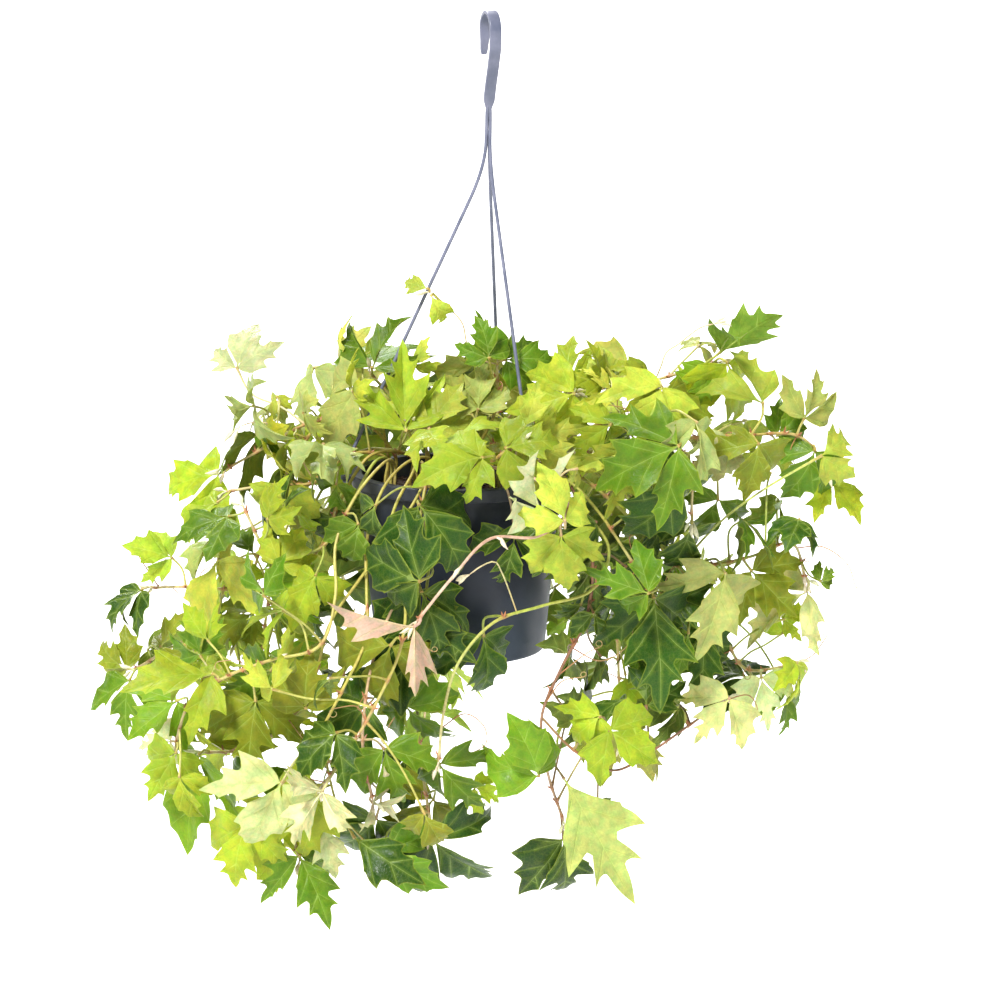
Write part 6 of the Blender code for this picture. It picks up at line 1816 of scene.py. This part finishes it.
def pot_paint():
    """Dark slate plastic with a fine moulded grain, dusty towards its rim, and paler at its foot with
    painted light, as if lit from below.
    """
    p = Paint("pot_plastic")
    where = p.where()
    grain, cloud = p.noise(where, 1400.0, 2.0), p.noise(where, 26.0, 4.0)
    height = p.node("SeparateXYZ", Vector=where).outputs["Z"]
    to_rim = p.ramp(height, RIM_TOP - 0.035, RIM_TOP, 0.0, 1.0)
    painted_foot_light = p.ramp(height, RIM_TOP - 0.07, RIM_TOP - POT_HEIGHT, 0.0, 1.0)
    dust = p.maths("MULTIPLY", to_rim, p.ramp(cloud, 0.35, 0.7, 0.05, 0.6))
    colour = p.mix(p.ramp(cloud, 0.3, 0.75, 0.0, 1.0), (0.010, 0.013, 0.020), (0.020, 0.026, 0.040))
    # painted light: the pot turns paler towards its foot, as if lit from below by the floor
    colour = p.mix(painted_foot_light, colour, (0.055, 0.070, 0.100))
    colour = p.mix(dust, colour, (0.075, 0.078, 0.085))
    return p.done(p.surface(colour, p.ramp(cloud, 0.3, 0.7, 0.36, 0.52),
                            Normal=p.bump(grain, 0.25, 0.0002), Specular_IOR_Level=0.28))


def hanger_paint():
    """Blue-grey moulded plastic, slightly mottled and satin."""
    p = Paint("hanger_plastic")
    where = p.where()
    grain, cloud = p.noise(where, 1600.0, 2.0), p.noise(where, 60.0, 3.0)
    colour = p.mix(p.ramp(cloud, 0.3, 0.7, 0.0, 1.0), (0.092, 0.103, 0.152), (0.145, 0.152, 0.212))
    rough = p.ramp(cloud, 0.3, 0.7, 0.30, 0.42)
    return p.done(p.surface(colour, rough, Normal=p.bump(grain, 0.15, 0.0001)))


def soil_paint():
    """Damp peat: dark purple-brown, with paler fibres and crumbs."""
    p = Paint("peat")
    where = p.where()
    cloud, grit = p.noise(where, 70.0, 5.0, 0.7), p.noise(where, 520.0, 4.0, 0.7)
    colour = p.mix(p.ramp(cloud, 0.35, 0.65, 0.0, 1.0), (0.030, 0.014, 0.010), (0.095, 0.048, 0.034))
    colour = p.mix(p.ramp(grit, 0.60, 0.72, 0.0, 0.75), colour, (0.24, 0.15, 0.09))
    rough = p.ramp(grit, 0.3, 0.7, 0.75, 0.95)
    return p.done(p.surface(colour, rough, Normal=p.bump(grit, 0.9, 0.0008)))


def floor_paint():
    """A pale floor with a faint cloudiness."""
    p = Paint("studio_floor")
    where = p.where()
    colour = p.mix(p.noise(where, 2.0, 4.0), (0.93, 0.93, 0.93), (0.96, 0.96, 0.96))
    return p.done(p.surface(colour, p.ramp(p.noise(where, 9.0), 0.3, 0.7, 0.7, 0.8)))


# ---------- the studio
FLOOR_HEIGHT = -1.28
CAMERA_PITCH = math.radians(-11)
LENS = 36 * 2.6 / 0.8333        # 0.833 m of the card through the seat fills the picture
SURROUNDINGS = 0.44             # the strength of the white light from all sides
# Each sun's name, its turn in degrees, its strength and how wide it looks, in degrees.
SUNS = [("front_light", (44, 0, -26), 5.25, 14), ("back_light", (-46, 0, 20), 3.9, 26)]


def make_studio():
    """A wide pale floor, white surroundings, one soft light from the front and one from behind."""
    disc = bmesh.new()
    bmesh.ops.create_circle(disc, cap_ends=True, radius=60, segments=96)
    data = bpy.data.meshes.new("floor")
    disc.to_mesh(data)
    disc.free()
    data.materials.append(floor_paint())
    floor = into_scene("floor", data)
    floor.location.z = FLOOR_HEIGHT
    world = bpy.data.worlds.new("studio")
    world.use_nodes = True
    sky = world.node_tree.nodes["Background"].inputs
    sky["Color"].default_value = (1, 1, 1, 1)
    sky["Strength"].default_value = SURROUNDINGS
    bpy.context.scene.world = world
    for name, turn, strength, spread in SUNS:
        data = bpy.data.lights.new(name, "SUN")
        data.energy, data.angle = strength, math.radians(spread)
        into_scene(name, data).rotation_euler = [math.radians(angle) for angle in turn]


def make_camera():
    """The camera at EYE, which looks a little down."""
    data = bpy.data.cameras.new("camera")
    data.lens, data.sensor_width = LENS, 36
    data.clip_end = 200
    camera = into_scene("camera", data)
    camera.location = EYE
    camera.rotation_euler = (math.pi / 2 + CAMERA_PITCH, 0, 0)
    bpy.context.scene.camera = camera
    bpy.context.scene.view_settings.view_transform = "Standard"


# ---------- the object, part by part
def fill_thicket(strands, stems):
    """What stands before any leaf does: the pot, the strands and the stems, as they are packed."""
    thicket = Thicket()
    thicket.add(turned(pot_outside(), POT_SIDES))
    for route in strands:
        thicket.add(tube(route, [STRAND_RADIUS] * len(route), STRAND_SIDES))
    for routes in stems.values():
        for number, route in enumerate(routes):
            thicket.add(stem_shape(route, number > 0))
    return thicket


def lay_sprigs(stems):
    """The thin shoots' routes, each from its place on its stem."""
    sprigs = {}
    for number, places in SPRIGS:
        places = [growth(*place) for place in places]
        places[0] = on_polyline(stems[vine(number)], places[0])
        sprigs.setdefault(vine(number), []).append(smooth_route(places, 0.012))
    return sprigs


def make_plant():
    """Every vine with its planned leaves, its small leaves and its tendrils."""
    strands = [strand_route(bearing) for bearing in STRAND_BEARINGS.values()]
    stems = lay_stems(strands)
    thicket = fill_thicket(strands, stems)
    joints = {name: [] for name in stems}
    leaves = place_leaves(stems, joints, thicket)
    sprigs = lay_sprigs(stems)
    grown = {name: routes + sprigs.get(name, []) for name, routes in stems.items()}
    leaves += place_small_leaves(grown, joints, thicket)
    leaves += fill_leaves(stems, joints, thicket)
    make_vines(stems, sprigs, leaves)


def make_pot():
    """The pot with its ears and the soil in it."""
    mesh_piece("pot_shell", [pot_shape()] + [ear_shape(b) for b in STRAND_BEARINGS.values()],
               pot_paint(), 40, ["pot"])
    mesh_piece("potting_soil", soil_shapes(), soil_paint(), 60, ["soil"])


def make_hanger():
    """The hanger: strap and strands in one moulding."""
    hanger = [strap_shape()]
    for name, bearing in STRAND_BEARINGS.items():
        hanger += strand_shapes(name, bearing)
    mesh_piece("moulded_hanger", hanger, hanger_paint(), 50,
               ["hanger_hook", *STRAND_BEARINGS])


make_studio()
make_camera()
make_plant()
make_pot()
make_hanger()
